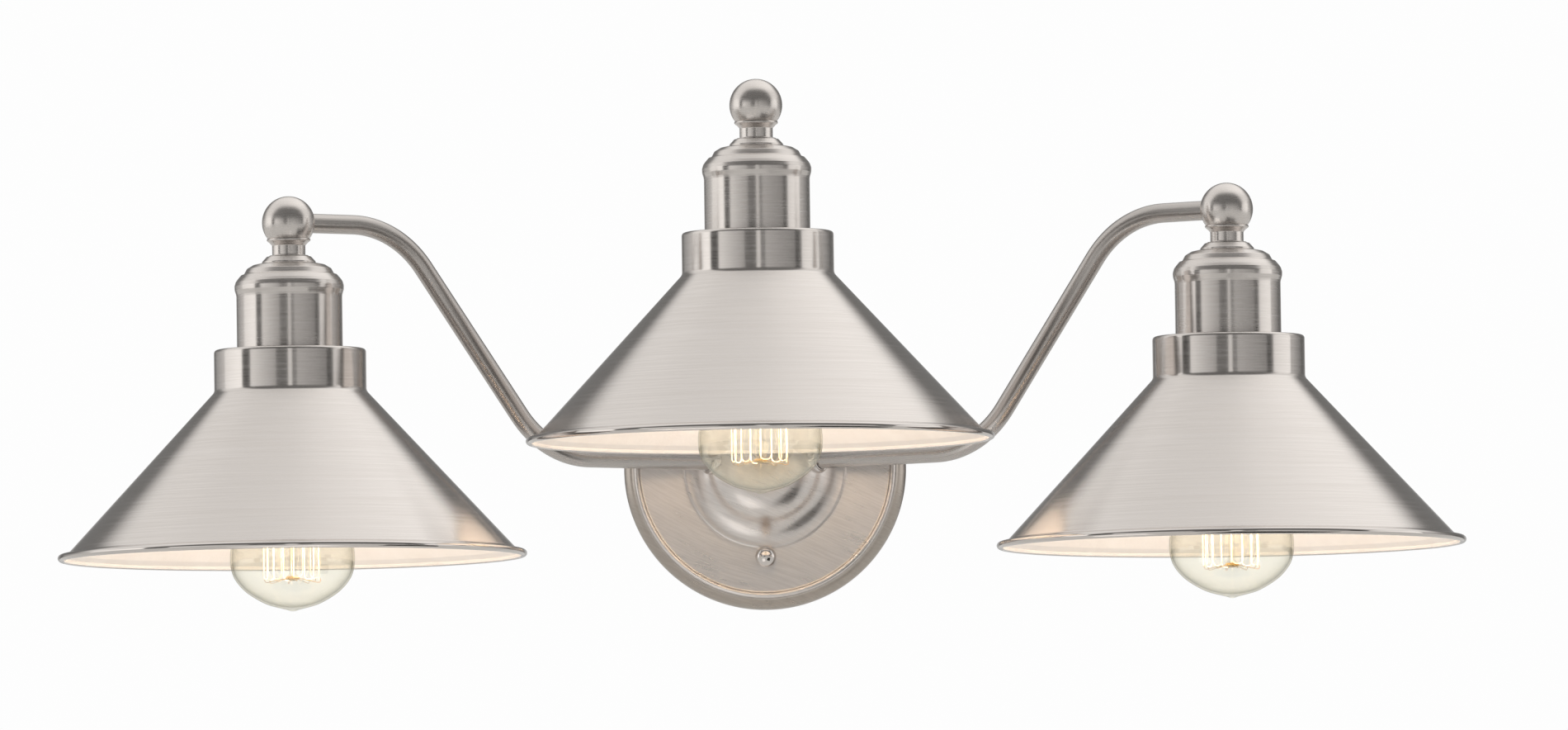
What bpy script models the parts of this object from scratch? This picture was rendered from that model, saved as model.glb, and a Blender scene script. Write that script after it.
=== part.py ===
"""Three-lamp vanity light bar: a round wall canopy, three bent arms and three downlight cone lamps.

Lengths are written in millimetres and turned into metres by MM where meshes are made.
World frame: the wall is the plane y = 0, the room lies towards -Y, +X is right and +Z is up.
The origin is the centre of the canopy on the wall.
"""
import math

import bmesh
import bpy
from mathutils import Matrix, Vector

MM = 0.001
GAP = 0.3                     # clearance kept between pieces that rest on each other

# Layout of the three lamps
LAMP_SPACING = 228.6          # side lamp axis to centre lamp axis
LAMP_REACH = 165.0            # wall to every lamp axis
CENTRE_RIM_Z = 6.0            # rim plane of the centre shade
SIDE_DROP = 54.0              # side lamps hang this much lower
LAMPS = {
    "centre": (0.0, CENTRE_RIM_Z),
    "left": (-LAMP_SPACING, CENTRE_RIM_Z - SIDE_DROP),
    "right": (LAMP_SPACING, CENTRE_RIM_Z - SIDE_DROP),
}

# Lamp head: heights are above the shade's rim plane
BALL_Z = 162.5
BALL_R = 12.9
NECK_R = 8.1
NECK_BASE_Z = 146.2
CUP_R = 25.9
CUP_WALL = 0.9
COLLAR_R = 37.1
COLLAR_TOP_Z = 100.6
COLLAR_BASE_Z = 80.0
CONE_SLOPE = 0.927            # radius gained per unit of height going down the cone
RIM_R = 114.3
RIM_BEAD_R = 1.7
SHADE_WALL = 1.0
FITTER_R = 20.2               # hole in the shade's top, round the lamp holder
NIPPLE_R = 4.75
NIPPLE_BORE_R = 3.4
NIPPLE_Z = (104.0, 152.0)
CLEAR_R = NIPPLE_R + GAP      # holes that the nipple and the arms pass through

# Lamp holder and bulb
HOLDER_R = 19.6
HOLDER_MOUTH_Z = 54.0
HOLDER_BORE_R = 14.6
SHELL_R = 14.2
SHELL_WALL = 0.45
THREAD_CREST_R = 13.2
THREAD_ROOT_R = 12.5
THREAD_PITCH = 3.63
BULB_TIP_Z = -27.0
BULB_LENGTH = 110.0
BULB_SIDE = (                 # bulb's radius at heights above its tip, from the pip to the neck
    (3.0, 0.75), (6.4, 1.6), (13.5, 3.8), (22.0, 8.9), (27.1, 14.2), (29.6, 19.2), (30.4, 25.4),
    (29.6, 33.0), (26.2, 44.0), (21.2, 55.0), (16.2, 66.5), (12.8, 77.0), (11.9, 85.0), (11.9, 91.0),
)
GLASS_TIP_WALL = 1.7          # the glass is thicker at the pip
BASE_MOUTH_Z = 57.0
BASE_RIDGES = 3
BASE_RIDGE_SPACING = 5.08     # coarser than the real thread, to keep the solid light
NECK_GLASS_R = 11.9
GLASS_WALL = 0.8
CAGE_R = 14.0
CAGE_Z = (-11.4, 42.0)
CAGE_LEGS = 16
FILAMENT_R = 0.35

# Canopy: distances are out from the wall
CANOPY_R = 69.85
FACE_DEPTH = 16.0
RIDGE_R = 63.2
RIDGE_BEAD_R = 1.4
BAND_ROUND_R = 8.0            # rounding of the canopy's outer band
BAND_DEPTH = 5.0
DOME_FOOT_R = 38.6
DOME_FOOT_DEPTH = 17.2
DOME_SWEEP_R = 14.0           # radius of the hollow sweep up from the dome's foot
DOME_SLOPE = 58.0             # steepest angle of the dome, in degrees from the canopy's face
DOME_ROUND = 17.0             # radius of the dome's shoulder in section
CANOPY_WALL = 1.2
STUD_Z = 44.45
STUD_R = 2.05
CAP_BALL_R = 5.2
STRAP_DEPTH = 2.0

# Arms
ARM_R = 4.75
ARM_WALL = 1.0
ARM_BEND_R = 52.0
SIDE_CLIMB = math.radians(52.2)      # slope of the side arms' rising stretch
SIDE_TOP_RUN = 37.0
CENTRE_LEAN = math.radians(36.0)     # lean of the centre arm away from the wall
ARM_INSET = 8.0                      # arm's inner end, out from the dome shoulder's centre
ARM_END_GAP = 5.0                    # arm's outer end to the middle of the ball
BUSH_R = 6.9                         # polished bush round the arm where it enters the canopy
LOCKNUT_AT = 7.6                     # arm's locknut, out from the dome shoulder's centre
SIDE_LIFT = 3.3                      # side arms leave the dome this far above its middle
LEAD_R = 1.5


# --- materials -------------------------------------------------------------------------------

def material(name, colour, roughness, metallic, alpha=1.0):
    made = bpy.data.materials.new(name)
    made.use_nodes = True
    shader = made.node_tree.nodes["Principled BSDF"]
    shader.inputs["Base Color"].default_value = (*colour, 1.0)
    shader.inputs["Roughness"].default_value = roughness
    shader.inputs["Metallic"].default_value = metallic
    shader.inputs["Alpha"].default_value = alpha
    made.diffuse_color = (*colour, alpha)
    return made


def make_materials():
    return {
        "nickel": material("brushed_nickel", (0.62, 0.58, 0.53), 0.32, 1.0),
        "polished": material("polished_nickel", (0.72, 0.68, 0.63), 0.12, 1.0),
        "steel": material("zinc_plated_steel", (0.55, 0.56, 0.57), 0.4, 1.0),
        "brass": material("brass", (0.70, 0.52, 0.24), 0.3, 1.0),
        "porcelain": material("glazed_porcelain", (0.86, 0.84, 0.80), 0.2, 0.0),
        "glass": material("clear_glass", (0.93, 0.95, 0.90), 0.03, 0.0, 0.35),
        "filament": material("carbon_filament", (0.95, 0.55, 0.20), 0.5, 0.0),
        "insulation": material("lead_insulation", (0.05, 0.05, 0.05), 0.55, 0.0),
        "connector": material("connector_plastic", (0.75, 0.25, 0.08), 0.5, 0.0),
        "ground": material("ground_green", (0.05, 0.35, 0.12), 0.4, 0.4),
    }


# --- outlines --------------------------------------------------------------------------------

def arc(centre, radius, start, end, steps):
    """Points (radius, height) along an arc, angles in degrees."""
    points = []
    for i in range(steps + 1):
        angle = math.radians(start + (end - start) * i / steps)
        points.append((centre[0] + radius * math.cos(angle), centre[1] + radius * math.sin(angle)))
    return points


def blend(points, steps):
    """A smooth curve through the points, with the given number of steps in each span."""
    first = 2 * points[0] - points[1]
    last = 2 * points[-1] - points[-2]
    through = [first, *points, last]
    curve = []
    for a, b, c, d in zip(through, through[1:], through[2:], through[3:]):
        for i in range(steps):
            t = i / steps
            curve.append(0.5 * (2 * b + (c - a) * t + (2 * a - 5 * b + 4 * c - d) * t * t
                                + (3 * b - a - 3 * c + d) * t ** 3))
    curve.append(points[-1])
    return curve


# --- building blocks -------------------------------------------------------------------------

def add_object(name, data, finish, parent=None, location=(0, 0, 0), turn=(0, 0, 0)):
    made = bpy.data.objects.new(name, data)
    bpy.context.collection.objects.link(made)
    made.parent = parent
    made.location = Vector(location) * MM
    made.rotation_euler = turn
    if finish:
        data.materials.append(finish)
    return made


def add_mesh(name, bm, finish, smooth_angle=35.0, **place):
    bmesh.ops.recalc_face_normals(bm, faces=bm.faces)
    mesh = bpy.data.meshes.new(name)
    bm.to_mesh(mesh)
    bm.free()
    mesh.shade_smooth()
    mesh.set_sharp_from_angle(angle=math.radians(smooth_angle))
    return add_object(name, mesh, finish, **place)


def turned(name, outline, steps, finish, ring=False, **place):
    """Spin an outline of (radius, height) points about Z; ring closes it round a through hole."""
    bm = bmesh.new()
    verts = [bm.verts.new((r * MM, 0.0, z * MM)) for r, z in outline]
    pairs = list(zip(verts, verts[1:]))
    if ring:
        pairs.append((verts[-1], verts[0]))
    edges = [bm.edges.new(pair) for pair in pairs]
    bmesh.ops.spin(bm, geom=verts + edges, cent=(0, 0, 0), axis=(0, 0, 1), dvec=(0, 0, 0),
                   angle=math.tau, steps=steps, use_merge=True)
    bmesh.ops.remove_doubles(bm, verts=bm.verts, dist=0.00001)
    return add_mesh(name, bm, finish, **place)


def tube(name, points, radius, finish, sides=8, wall=0.0):
    """A round tube or wire along points in world millimetres; wall makes it hollow."""
    curve = bpy.data.curves.new(name, "CURVE")
    curve.dimensions = "3D"
    curve.bevel_depth = radius * MM
    curve.bevel_resolution = sides // 2 - 2
    curve.use_fill_caps = not wall
    spline = curve.splines.new("POLY")
    spline.points.add(len(points) - 1)
    for target, point in zip(spline.points, points):
        target.co = (*(Vector(point) * MM), 1.0)
    made = add_object(name, curve, finish)
    if wall:
        hollow = made.modifiers.new("wall", "SOLIDIFY")
        hollow.thickness = wall * MM
        hollow.offset = -1.0
    return made


def cylinder_cutter(name, start, direction, length, radius, sides=16):
    """A cutter cylinder from a world point along a direction, all in millimetres."""
    bm = bmesh.new()
    middle = Vector(start) + Vector(direction).normalized() * length / 2
    spin = Vector(direction).to_track_quat("Z", "Y").to_matrix().to_4x4()
    bmesh.ops.create_cone(bm, cap_ends=True, segments=sides, radius1=radius * MM, radius2=radius * MM,
                          depth=length * MM, matrix=Matrix.Translation(middle * MM) @ spin)
    cutter = add_mesh(name, bm, None)
    cutter.hide_render = True
    cutter.display_type = "WIRE"
    return cutter


def cut(target, cutter):
    hole = target.modifiers.new(cutter.name, "BOOLEAN")
    hole.operation = "DIFFERENCE"
    hole.solver = "EXACT"
    hole.object = cutter


# --- canopy and what holds it to the wall ----------------------------------------------------

def wall_turn():
    """Lays a turned piece on the wall: its own +Z points out into the room."""
    return (math.radians(90.0), 0.0, 0.0)


def dome_sweep():
    """Centre of the hollow sweep at the dome's foot, in (radius, depth)."""
    return (DOME_FOOT_R, DOME_FOOT_DEPTH + DOME_SWEEP_R)


def dome_shoulder():
    """Centre of the dome's rounded shoulder, which meets the sweep at the steepest angle."""
    sweep_r, sweep_depth = dome_sweep()
    slope = math.radians(DOME_SLOPE)
    apart = DOME_SWEEP_R + DOME_ROUND
    return (sweep_r - apart * math.sin(slope), sweep_depth - apart * math.cos(slope))


def canopy_outline():
    shoulder = dome_shoulder()
    sweep = dome_sweep()
    top = shoulder[1] + DOME_ROUND + 0.6
    steepest = 90.0 - DOME_SLOPE
    outer = [(0.0, top)] + arc(shoulder, DOME_ROUND, 90, steepest, 4)
    outer += arc(sweep, DOME_SWEEP_R, 180 + steepest, 270, 3)[1:]
    outer += [(DOME_FOOT_R + 1.2, DOME_FOOT_DEPTH - 0.2), (DOME_FOOT_R + 1.6, FACE_DEPTH)]
    outer += arc((RIDGE_R, FACE_DEPTH - 0.2), RIDGE_BEAD_R, 170, 20, 3)
    outer += arc((CANOPY_R - BAND_ROUND_R, BAND_DEPTH), BAND_ROUND_R, 62, 0, 3)
    outer += [(CANOPY_R, 0.0)]
    inside = CANOPY_R - CANOPY_WALL
    back_face = FACE_DEPTH - CANOPY_WALL
    inner = [(inside, 0.0), (inside, BAND_DEPTH), (RIDGE_R + 1.0, 10.8), (RIDGE_R - 1.0, back_face)]
    inner += [(DOME_FOOT_R + 1.0, back_face)]
    inner += arc(sweep, DOME_SWEEP_R + CANOPY_WALL, 262, 180 + steepest, 3)
    inner += arc(shoulder, DOME_ROUND - CANOPY_WALL, steepest, 90, 3)[1:]
    inner += [(0.0, top - CANOPY_WALL)]
    return outer + inner


def add_canopy(finish, arm_lines):
    canopy = turned("canopy", canopy_outline(), 28, finish["nickel"], turn=wall_turn())
    for side, (start, direction) in arm_lines.items():
        cut(canopy, cylinder_cutter(f"arm_hole_{side}", start, direction, 20.0, BUSH_R + GAP))
    for place, height in (("upper", STUD_Z), ("lower", -STUD_Z)):
        cut(canopy, cylinder_cutter(f"stud_hole_{place}", (0, -5, height), (0, -1, 0), 20.0, STUD_R + GAP, 12))


def add_wall_bracket(finish):
    """A flat strap with rounded ends, box screw slots and stud holes, lying on the wall."""
    half_width = 11.0
    end_z = 52.0 - half_width
    bm = bmesh.new()
    outline = arc((0, end_z), half_width, 0, 180, 6) + arc((0, -end_z), half_width, 180, 360, 6)
    face = bm.faces.new([bm.verts.new((x * MM, 0.0, z * MM)) for x, z in outline])
    moved = bmesh.ops.extrude_face_region(bm, geom=[face])["geom"]
    raised = [item for item in moved if isinstance(item, bmesh.types.BMVert)]
    bmesh.ops.translate(bm, verts=raised, vec=(0, -STRAP_DEPTH * MM, 0))
    strap = add_mesh("wall_bracket", bm, finish["steel"])
    for place, sign in (("upper", 1), ("lower", -1)):
        cut(strap, cylinder_cutter(f"strap_stud_hole_{place}", (0, 5, sign * STUD_Z), (0, -1, 0), 12.0,
                                   STUD_R + GAP, 12))
        slot = bmesh.new()
        bmesh.ops.create_cube(slot, size=1.0)
        bmesh.ops.scale(slot, verts=slot.verts, vec=Vector((5.0, 12.0, 9.0)) * MM)
        bmesh.ops.translate(slot, verts=slot.verts, vec=Vector((0, 0, sign * 33.0)) * MM)
        cutter = add_mesh(f"box_screw_slot_{place}", slot, None)
        cutter.hide_render = True
        cutter.display_type = "WIRE"
        cut(strap, cutter)
    cut(strap, cylinder_cutter("ground_screw_hole", (6, 5, 12), (0, -1, 0), 12.0, 1.8, 12))


def add_fixings(finish):
    """Studs through strap and canopy, their ball cap nuts, and the ground screw."""
    cap_middle = FACE_DEPTH + 7.2
    for place, height in (("upper", STUD_Z), ("lower", -STUD_Z)):
        spot = dict(location=(0, 0, height), turn=wall_turn())
        rod = [(0, GAP), (STUD_R, GAP), (STUD_R, 20.5), (STUD_R - 0.5, 21.0), (0, 21.0)]
        turned(f"mounting_stud_{place}", rod, 12, finish["steel"], **spot)
        cap = [(0, 22.4), (STUD_R + GAP, 21.8), (STUD_R + GAP, FACE_DEPTH + GAP), (3.9, FACE_DEPTH + GAP)]
        cap += [(3.9, FACE_DEPTH + 1.4), (3.4, FACE_DEPTH + 2.4)]
        cap += arc((0, cap_middle), CAP_BALL_R, -46, 75, 5)
        cap += [(0.0, cap_middle + CAP_BALL_R)]
        turned(f"cap_nut_{place}", cap, 12, finish["polished"], **spot)
    screw = [(0, GAP), (1.5, GAP), (1.5, STRAP_DEPTH + GAP), (4.0, STRAP_DEPTH + GAP), (4.0, 4.2)]
    screw += [(3.2, 4.8), (0, 4.8)]
    turned("ground_screw", screw, 12, finish["ground"], location=(6, 0, 12), turn=wall_turn())


# --- arms ------------------------------------------------------------------------------------

class Arm:
    """A planar arm: distances run out from the dome shoulder's centre, heights rise from it."""

    def __init__(self, side):
        self.side = side
        x, rim_z = LAMPS[side]
        self.ball = Vector((x, -LAMP_REACH, rim_z + BALL_Z))
        shoulder_r, shoulder_depth = dome_shoulder()
        if side == "centre":
            self.root = Vector((0.0, -shoulder_depth, shoulder_r))
            self.out = Vector((0.0, -1.0, 0.0))
            self.profile = self.centre_profile()
        else:
            sign = math.copysign(1.0, x)
            self.root = Vector((sign * shoulder_r, -shoulder_depth, SIDE_LIFT))
            flat = Vector((self.ball.x - self.root.x, self.ball.y - self.root.y, 0.0))
            self.out = flat.normalized()
            self.profile = self.side_profile(flat.length)

    def side_profile(self, span):
        rise = self.ball.z - self.root.z
        straight = (rise - 2 * ARM_BEND_R * (1 - math.cos(SIDE_CLIMB))) / math.sin(SIDE_CLIMB)
        bends = 2 * ARM_BEND_R * math.sin(SIDE_CLIMB) + straight * math.cos(SIDE_CLIMB)
        low_end = span - SIDE_TOP_RUN - bends
        climb = math.degrees(SIDE_CLIMB)
        points = [(ARM_INSET, 0.0)]
        points += arc((low_end, ARM_BEND_R), ARM_BEND_R, -90, -90 + climb, 5)
        points += arc((span - SIDE_TOP_RUN, rise - ARM_BEND_R), ARM_BEND_R, 90 + climb, 90, 5)
        points += [(span - ARM_END_GAP, rise)]
        return points

    def centre_profile(self):
        span = -self.ball.y + self.root.y
        rise = self.ball.z - self.root.z
        lean = CENTRE_LEAN
        start = (ARM_INSET * math.sin(lean), ARM_INSET * math.cos(lean))
        climb = rise - ARM_BEND_R * (1 - math.sin(lean)) - start[1]
        bend_x = start[0] + climb * math.tan(lean) + ARM_BEND_R * math.cos(lean)
        points = [start]
        points += arc((bend_x, rise - ARM_BEND_R), ARM_BEND_R, 180 - math.degrees(lean), 90, 6)
        points += [(span - ARM_END_GAP, rise)]
        return points

    def at(self, distance, height):
        return self.root + self.out * distance + Vector((0, 0, height))

    def points(self):
        return [self.at(*point) for point in self.profile]

    def start_direction(self):
        first, second = self.points()[:2]
        return (second - first).normalized()


def along(direction):
    """Rotation that turns a piece's own +Z to a direction."""
    return Vector(direction).to_track_quat("Z", "Y").to_euler()


def hex_nut(name, across_r, hole_r, height, finish, **place):
    """Six-sided nut: outline spun in six steps."""
    outline = [(hole_r, 0), (across_r, 0), (across_r, height), (hole_r, height)]
    return turned(name, outline, 6, finish, ring=True, **place)


def add_arm(arm, finish):
    points = arm.points()
    direction = arm.start_direction()
    tube(f"arm_{arm.side}", points, ARM_R, finish["nickel"], sides=8, wall=ARM_WALL)
    outside = arm.root + direction * DOME_ROUND
    inside = arm.root + direction * LOCKNUT_AT
    bush = [(CLEAR_R, -2.6), (BUSH_R, -2.6), (BUSH_R, 1.6)] + arc((6.0, 1.6), 0.9, 30, 120, 3)
    bush += [(CLEAR_R, 2.4)]
    turned(f"arm_ring_{arm.side}", bush, 12, finish["polished"], ring=True,
           location=outside, turn=along(direction))
    hex_nut(f"arm_locknut_{arm.side}", 8.0, 5.9, 3.6, finish["steel"],
            location=inside, turn=along(direction))


def add_lead(arm, splice_x, finish):
    """The lamp's twin lead: splice in the canopy, through arm and ball, down to the lamp holder."""
    points = arm.points()
    splice = Vector((splice_x, -8.5, -13.0))
    entry = points[0] - arm.start_direction() * 5.0
    waist = Vector((splice_x * 1.1, -15.0, -4.0))
    feed = blend([splice, waist, entry, points[0] + arm.start_direction() * 3.0], 3)
    bend = [arm.ball - arm.out * 5.5, arm.ball - arm.out * 2.2 - Vector((0, 0, 0.9))]
    bend += [arm.ball - arm.out * 0.4 - Vector((0, 0, 3.2))]
    drop = arm.ball.z - (BALL_Z - NIPPLE_Z[0]) - 2.5
    bend += [Vector((arm.ball.x, arm.ball.y, arm.ball.z - 7.0)), Vector((arm.ball.x, arm.ball.y, drop))]
    tube(f"lead_{arm.side}", feed + points[1:-1] + bend, LEAD_R, finish["insulation"], sides=6)


def add_wire_nuts(finish):
    """Two twist-on connectors where the lamps' leads meet the supply."""
    outline = [(0.0, -10.0), (2.6, -8.0), (3.4, 0.0), (4.4, 0.0), (4.1, -12.0), (3.4, -18.0), (0.0, -19.0)]
    for name, x in (("wire_nut_line", -5.2), ("wire_nut_neutral", 5.2)):
        turned(name, outline, 10, finish["connector"], location=(x, -8.5, -16.5))


# --- lamp heads ------------------------------------------------------------------------------

def add_ball_fitting(side, arm, lamp, finish):
    """Turned ball on a beaded, flared neck, bored for the nipple and cross-bored for the arm."""
    outline = [(0.0, BALL_Z + BALL_R)]
    outline += arc((0, BALL_Z), BALL_R, 90, -50, 7)[1:]
    outline += [(10.6, 153.4), (10.2, 151.8), (8.4, 150.4)]
    outline += [(NECK_R, NECK_BASE_Z), (CLEAR_R, NECK_BASE_Z), (CLEAR_R, BALL_Z + 2.0), (0.0, BALL_Z + 4.5)]
    fitting = turned(f"ball_fitting_{side}", outline, 16, finish["nickel"], parent=lamp)
    cut(fitting, cylinder_cutter(f"arm_socket_{side}", arm.ball, -arm.out, 30.0, CLEAR_R))


def add_socket_cup(side, lamp, finish):
    """Spun cup: stepped disc, domed shoulder, bead and straight wall, open below."""
    foot = COLLAR_TOP_Z + GAP
    top = NECK_BASE_Z - GAP
    outer = [(CLEAR_R, top), (10.8, top), (13.1, 143.4), (13.1, 142.8), (17.6, 141.8), (20.6, 140.0)]
    outer += [(22.0, 137.4), (23.4, 137.0), (25.2, 134.8), (25.3, 132.6), (26.9, 131.4), (26.9, 129.4)]
    outer += [(26.4, 127.0), (CUP_R, 125.6), (CUP_R, foot)]
    inner_r = CUP_R - CUP_WALL
    inner = [(inner_r, foot), (inner_r, 127.5), (23.8, 134.0), (19.0, 138.8), (CLEAR_R, 142.0)]
    turned(f"socket_cup_{side}", outer + inner, 16, finish["nickel"], ring=True, parent=lamp)


def add_nipple(side, lamp, finish):
    low, high = NIPPLE_Z
    outline = [(NIPPLE_BORE_R, low), (NIPPLE_R, low), (NIPPLE_R, high), (NIPPLE_BORE_R, high)]
    turned(f"threaded_nipple_{side}", outline, 12, finish["steel"], ring=True, parent=lamp)
    hex_nut(f"cup_locknut_{side}", 8.0, 5.9, 3.6, finish["steel"], parent=lamp, location=(0, 0, 137.4))


def add_lamp_holder(side, lamp, finish):
    """Porcelain holder with its flange on the shade's top, screw shell and centre contact."""
    flange_z = COLLAR_TOP_Z + GAP
    outline = [(0.0, 87.2), (HOLDER_BORE_R - 2.0, 87.2), (HOLDER_BORE_R, 84.6)]
    outline += [(HOLDER_BORE_R, HOLDER_MOUTH_Z), (HOLDER_R - 1.0, HOLDER_MOUTH_Z), (HOLDER_R, 55.0)]
    outline += [(HOLDER_R, flange_z), (23.4, flange_z), (23.4, flange_z + 2.6), (17.5, flange_z + 3.0)]
    outline += [(16.5, 117.0), (CLEAR_R, 117.0), (CLEAR_R, 100.5), (0.0, 100.0)]
    turned(f"lamp_holder_{side}", outline, 16, finish["porcelain"], parent=lamp)
    shell = [(SHELL_R - SHELL_WALL, 56.5), (SHELL_R, 56.5), (SHELL_R, 82.6), (8.5, 83.2), (8.5, 82.75)]
    shell += [(SHELL_R - SHELL_WALL, 82.15)]
    turned(f"screw_shell_{side}", shell, 16, finish["brass"], ring=True, parent=lamp)
    add_contact(side, lamp, finish)


def add_contact(side, lamp, finish):
    """Springy brass tongue: a bent strip reaching down to the bulb's contact."""
    spine = [(-7.5, 86.8), (-2.0, 86.6), (2.0, 84.6), (6.2, 83.95)]
    half_width = 2.8
    thickness = 0.4
    bm = bmesh.new()
    near = [bm.verts.new((x * MM, -half_width * MM, z * MM)) for x, z in spine]
    near += [bm.verts.new((x * MM, -half_width * MM, (z - thickness) * MM)) for x, z in reversed(spine)]
    face = bm.faces.new(near)
    moved = bmesh.ops.extrude_face_region(bm, geom=[face])["geom"]
    far = [item for item in moved if isinstance(item, bmesh.types.BMVert)]
    bmesh.ops.translate(bm, verts=far, vec=(0, 2 * half_width * MM, 0))
    add_mesh(f"socket_contact_{side}", bm, finish["brass"], parent=lamp)


def add_shade(side, lamp, finish):
    """Spun shade: flat top with the fitter hole, collar, cone and rolled rim, all one sheet."""
    def cone_r(z):
        return COLLAR_R + CONE_SLOPE * (COLLAR_BASE_Z - z)
    skin = SHADE_WALL * math.hypot(1.0, CONE_SLOPE)
    bead = (RIM_R - RIM_BEAD_R, 0.0)
    outer = [(FITTER_R, COLLAR_TOP_Z)] + arc((COLLAR_R - 1.5, COLLAR_TOP_Z - 1.5), 1.5, 90, 0, 1)
    outer += [(COLLAR_R, COLLAR_BASE_Z)]
    outer += [(cone_r(2.6), 2.6)]
    outer += arc(bead, RIM_BEAD_R, 110, -170, 5)
    inner = [(cone_r(1.2) - skin, 1.2), (COLLAR_R - SHADE_WALL, COLLAR_BASE_Z - 0.6)]
    inner += [(COLLAR_R - SHADE_WALL, COLLAR_TOP_Z - SHADE_WALL), (FITTER_R, COLLAR_TOP_Z - SHADE_WALL)]
    turned(f"shade_{side}", outer + inner, 24, finish["nickel"], ring=True, parent=lamp)


def add_shade_ring(side, lamp, finish):
    """Threaded ring on the holder that clamps the shade from below."""
    top = COLLAR_TOP_Z - SHADE_WALL - GAP
    thread_r = HOLDER_R + 0.7
    outline = [(thread_r, top), (thread_r, top - 5.0), (23.6, top - 5.0), (24.2, top - 1.4)]
    outline += [(27.0, top - 1.4), (27.0, top)]
    turned(f"shade_ring_{side}", outline, 16, finish["porcelain"], ring=True, parent=lamp)


def bulb_outline(shrink, tip_wall):
    """Bulb section from its pip up to the neck, drawn in by the glass thickness for the inside."""
    even_from = 20.0          # above this height the wall is measured level
    outline = [(0.0, BULB_TIP_Z + tip_wall)]
    for radius, height in BULB_SIDE:
        lift = shrink * max(0.0, 1.0 - height / even_from)
        if height > tip_wall:
            outline.append((radius - shrink, BULB_TIP_Z + height + lift))
    return outline


def add_bulb(side, lamp, finish):
    glass = bulb_outline(0.0, 0.0) + list(reversed(bulb_outline(GLASS_WALL, GLASS_TIP_WALL)))
    turned(f"bulb_glass_{side}", glass, 16, finish["glass"], parent=lamp)
    top = BULB_TIP_Z + BULB_LENGTH
    inside = NECK_GLASS_R + GAP
    base = [(0.0, 79.6), (inside, 79.0), (inside, BASE_MOUTH_Z + 0.4), (THREAD_CREST_R, BASE_MOUTH_Z)]
    for i in range(BASE_RIDGES):
        low = BASE_MOUTH_Z + 4.0 + i * BASE_RIDGE_SPACING
        base += [(THREAD_ROOT_R + 0.35, low), (THREAD_CREST_R, low + THREAD_PITCH / 2)]
    base += [(THREAD_ROOT_R, 78.0), (6.0, top - 1.6), (4.8, top - 0.4), (0.0, top)]
    turned(f"bulb_base_{side}", base, 16, finish["brass"], parent=lamp)
    stem = [(0.0, 60.5), (10.4, 60.5), (9.4, 57.5), (5.0, 50.0), (2.4, 44.0), (1.5, 36.0), (1.5, -8.5)]
    stem += [(3.1, -10.2), (3.1, -11.4), (0.0, -12.3)]
    turned(f"bulb_stem_{side}", stem, 8, finish["glass"], parent=lamp)
    add_filament(side, lamp, finish)


def add_filament(side, lamp, finish):
    """Squirrel cage: one wire running up and down round a circle."""
    low, high = CAGE_Z
    points = []
    for leg in range(CAGE_LEGS):
        angle = math.tau * (leg + 0.5) / CAGE_LEGS
        spot = [CAGE_R * math.cos(angle), CAGE_R * math.sin(angle)]
        ends = [Vector((*spot, high)), Vector((*spot, low))]
        points += ends if leg % 2 == 0 else reversed(ends)
    wire = tube(f"filament_{side}", points, FILAMENT_R, finish["filament"], sides=4)
    wire.parent = lamp


def add_lamp(side, arm, finish):
    x, rim_z = LAMPS[side]
    lamp = bpy.data.objects.new(f"lamp_axis_{side}", None)
    bpy.context.collection.objects.link(lamp)
    lamp.location = Vector((x, -LAMP_REACH, rim_z)) * MM
    add_ball_fitting(side, arm, lamp, finish)
    add_socket_cup(side, lamp, finish)
    add_nipple(side, lamp, finish)
    add_lamp_holder(side, lamp, finish)
    add_shade(side, lamp, finish)
    add_shade_ring(side, lamp, finish)
    add_bulb(side, lamp, finish)


def clear_scene():
    for item in list(bpy.data.objects):
        bpy.data.objects.remove(item, do_unlink=True)


def main():
    clear_scene()
    finish = make_materials()
    arms = {side: Arm(side) for side in LAMPS}
    add_canopy(finish, {side: (arm.points()[0], arm.start_direction()) for side, arm in arms.items()})
    add_wall_bracket(finish)
    add_fixings(finish)
    add_wire_nuts(finish)
    for side, arm in arms.items():
        add_arm(arm, finish)
        add_lead(arm, {"left": -6.0, "centre": 0.0, "right": 6.0}[side], finish)
        add_lamp(side, arm, finish)


main()
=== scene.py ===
# %% [markdown]
# # A three-light vanity bar in brushed nickel
# A wall canopy carries three bent arms. Each arm ends in a ball fitting, and under the ball hang a
# socket cup, a cone shade lined with cream enamel, and a lit squirrel-cage bulb. The CAD model is
# loaded first, because it fixes every size and says which parts turn.

# %% Load the fixed frame
import math

import bmesh
import bpy
from mathutils import Matrix, Vector


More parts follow.
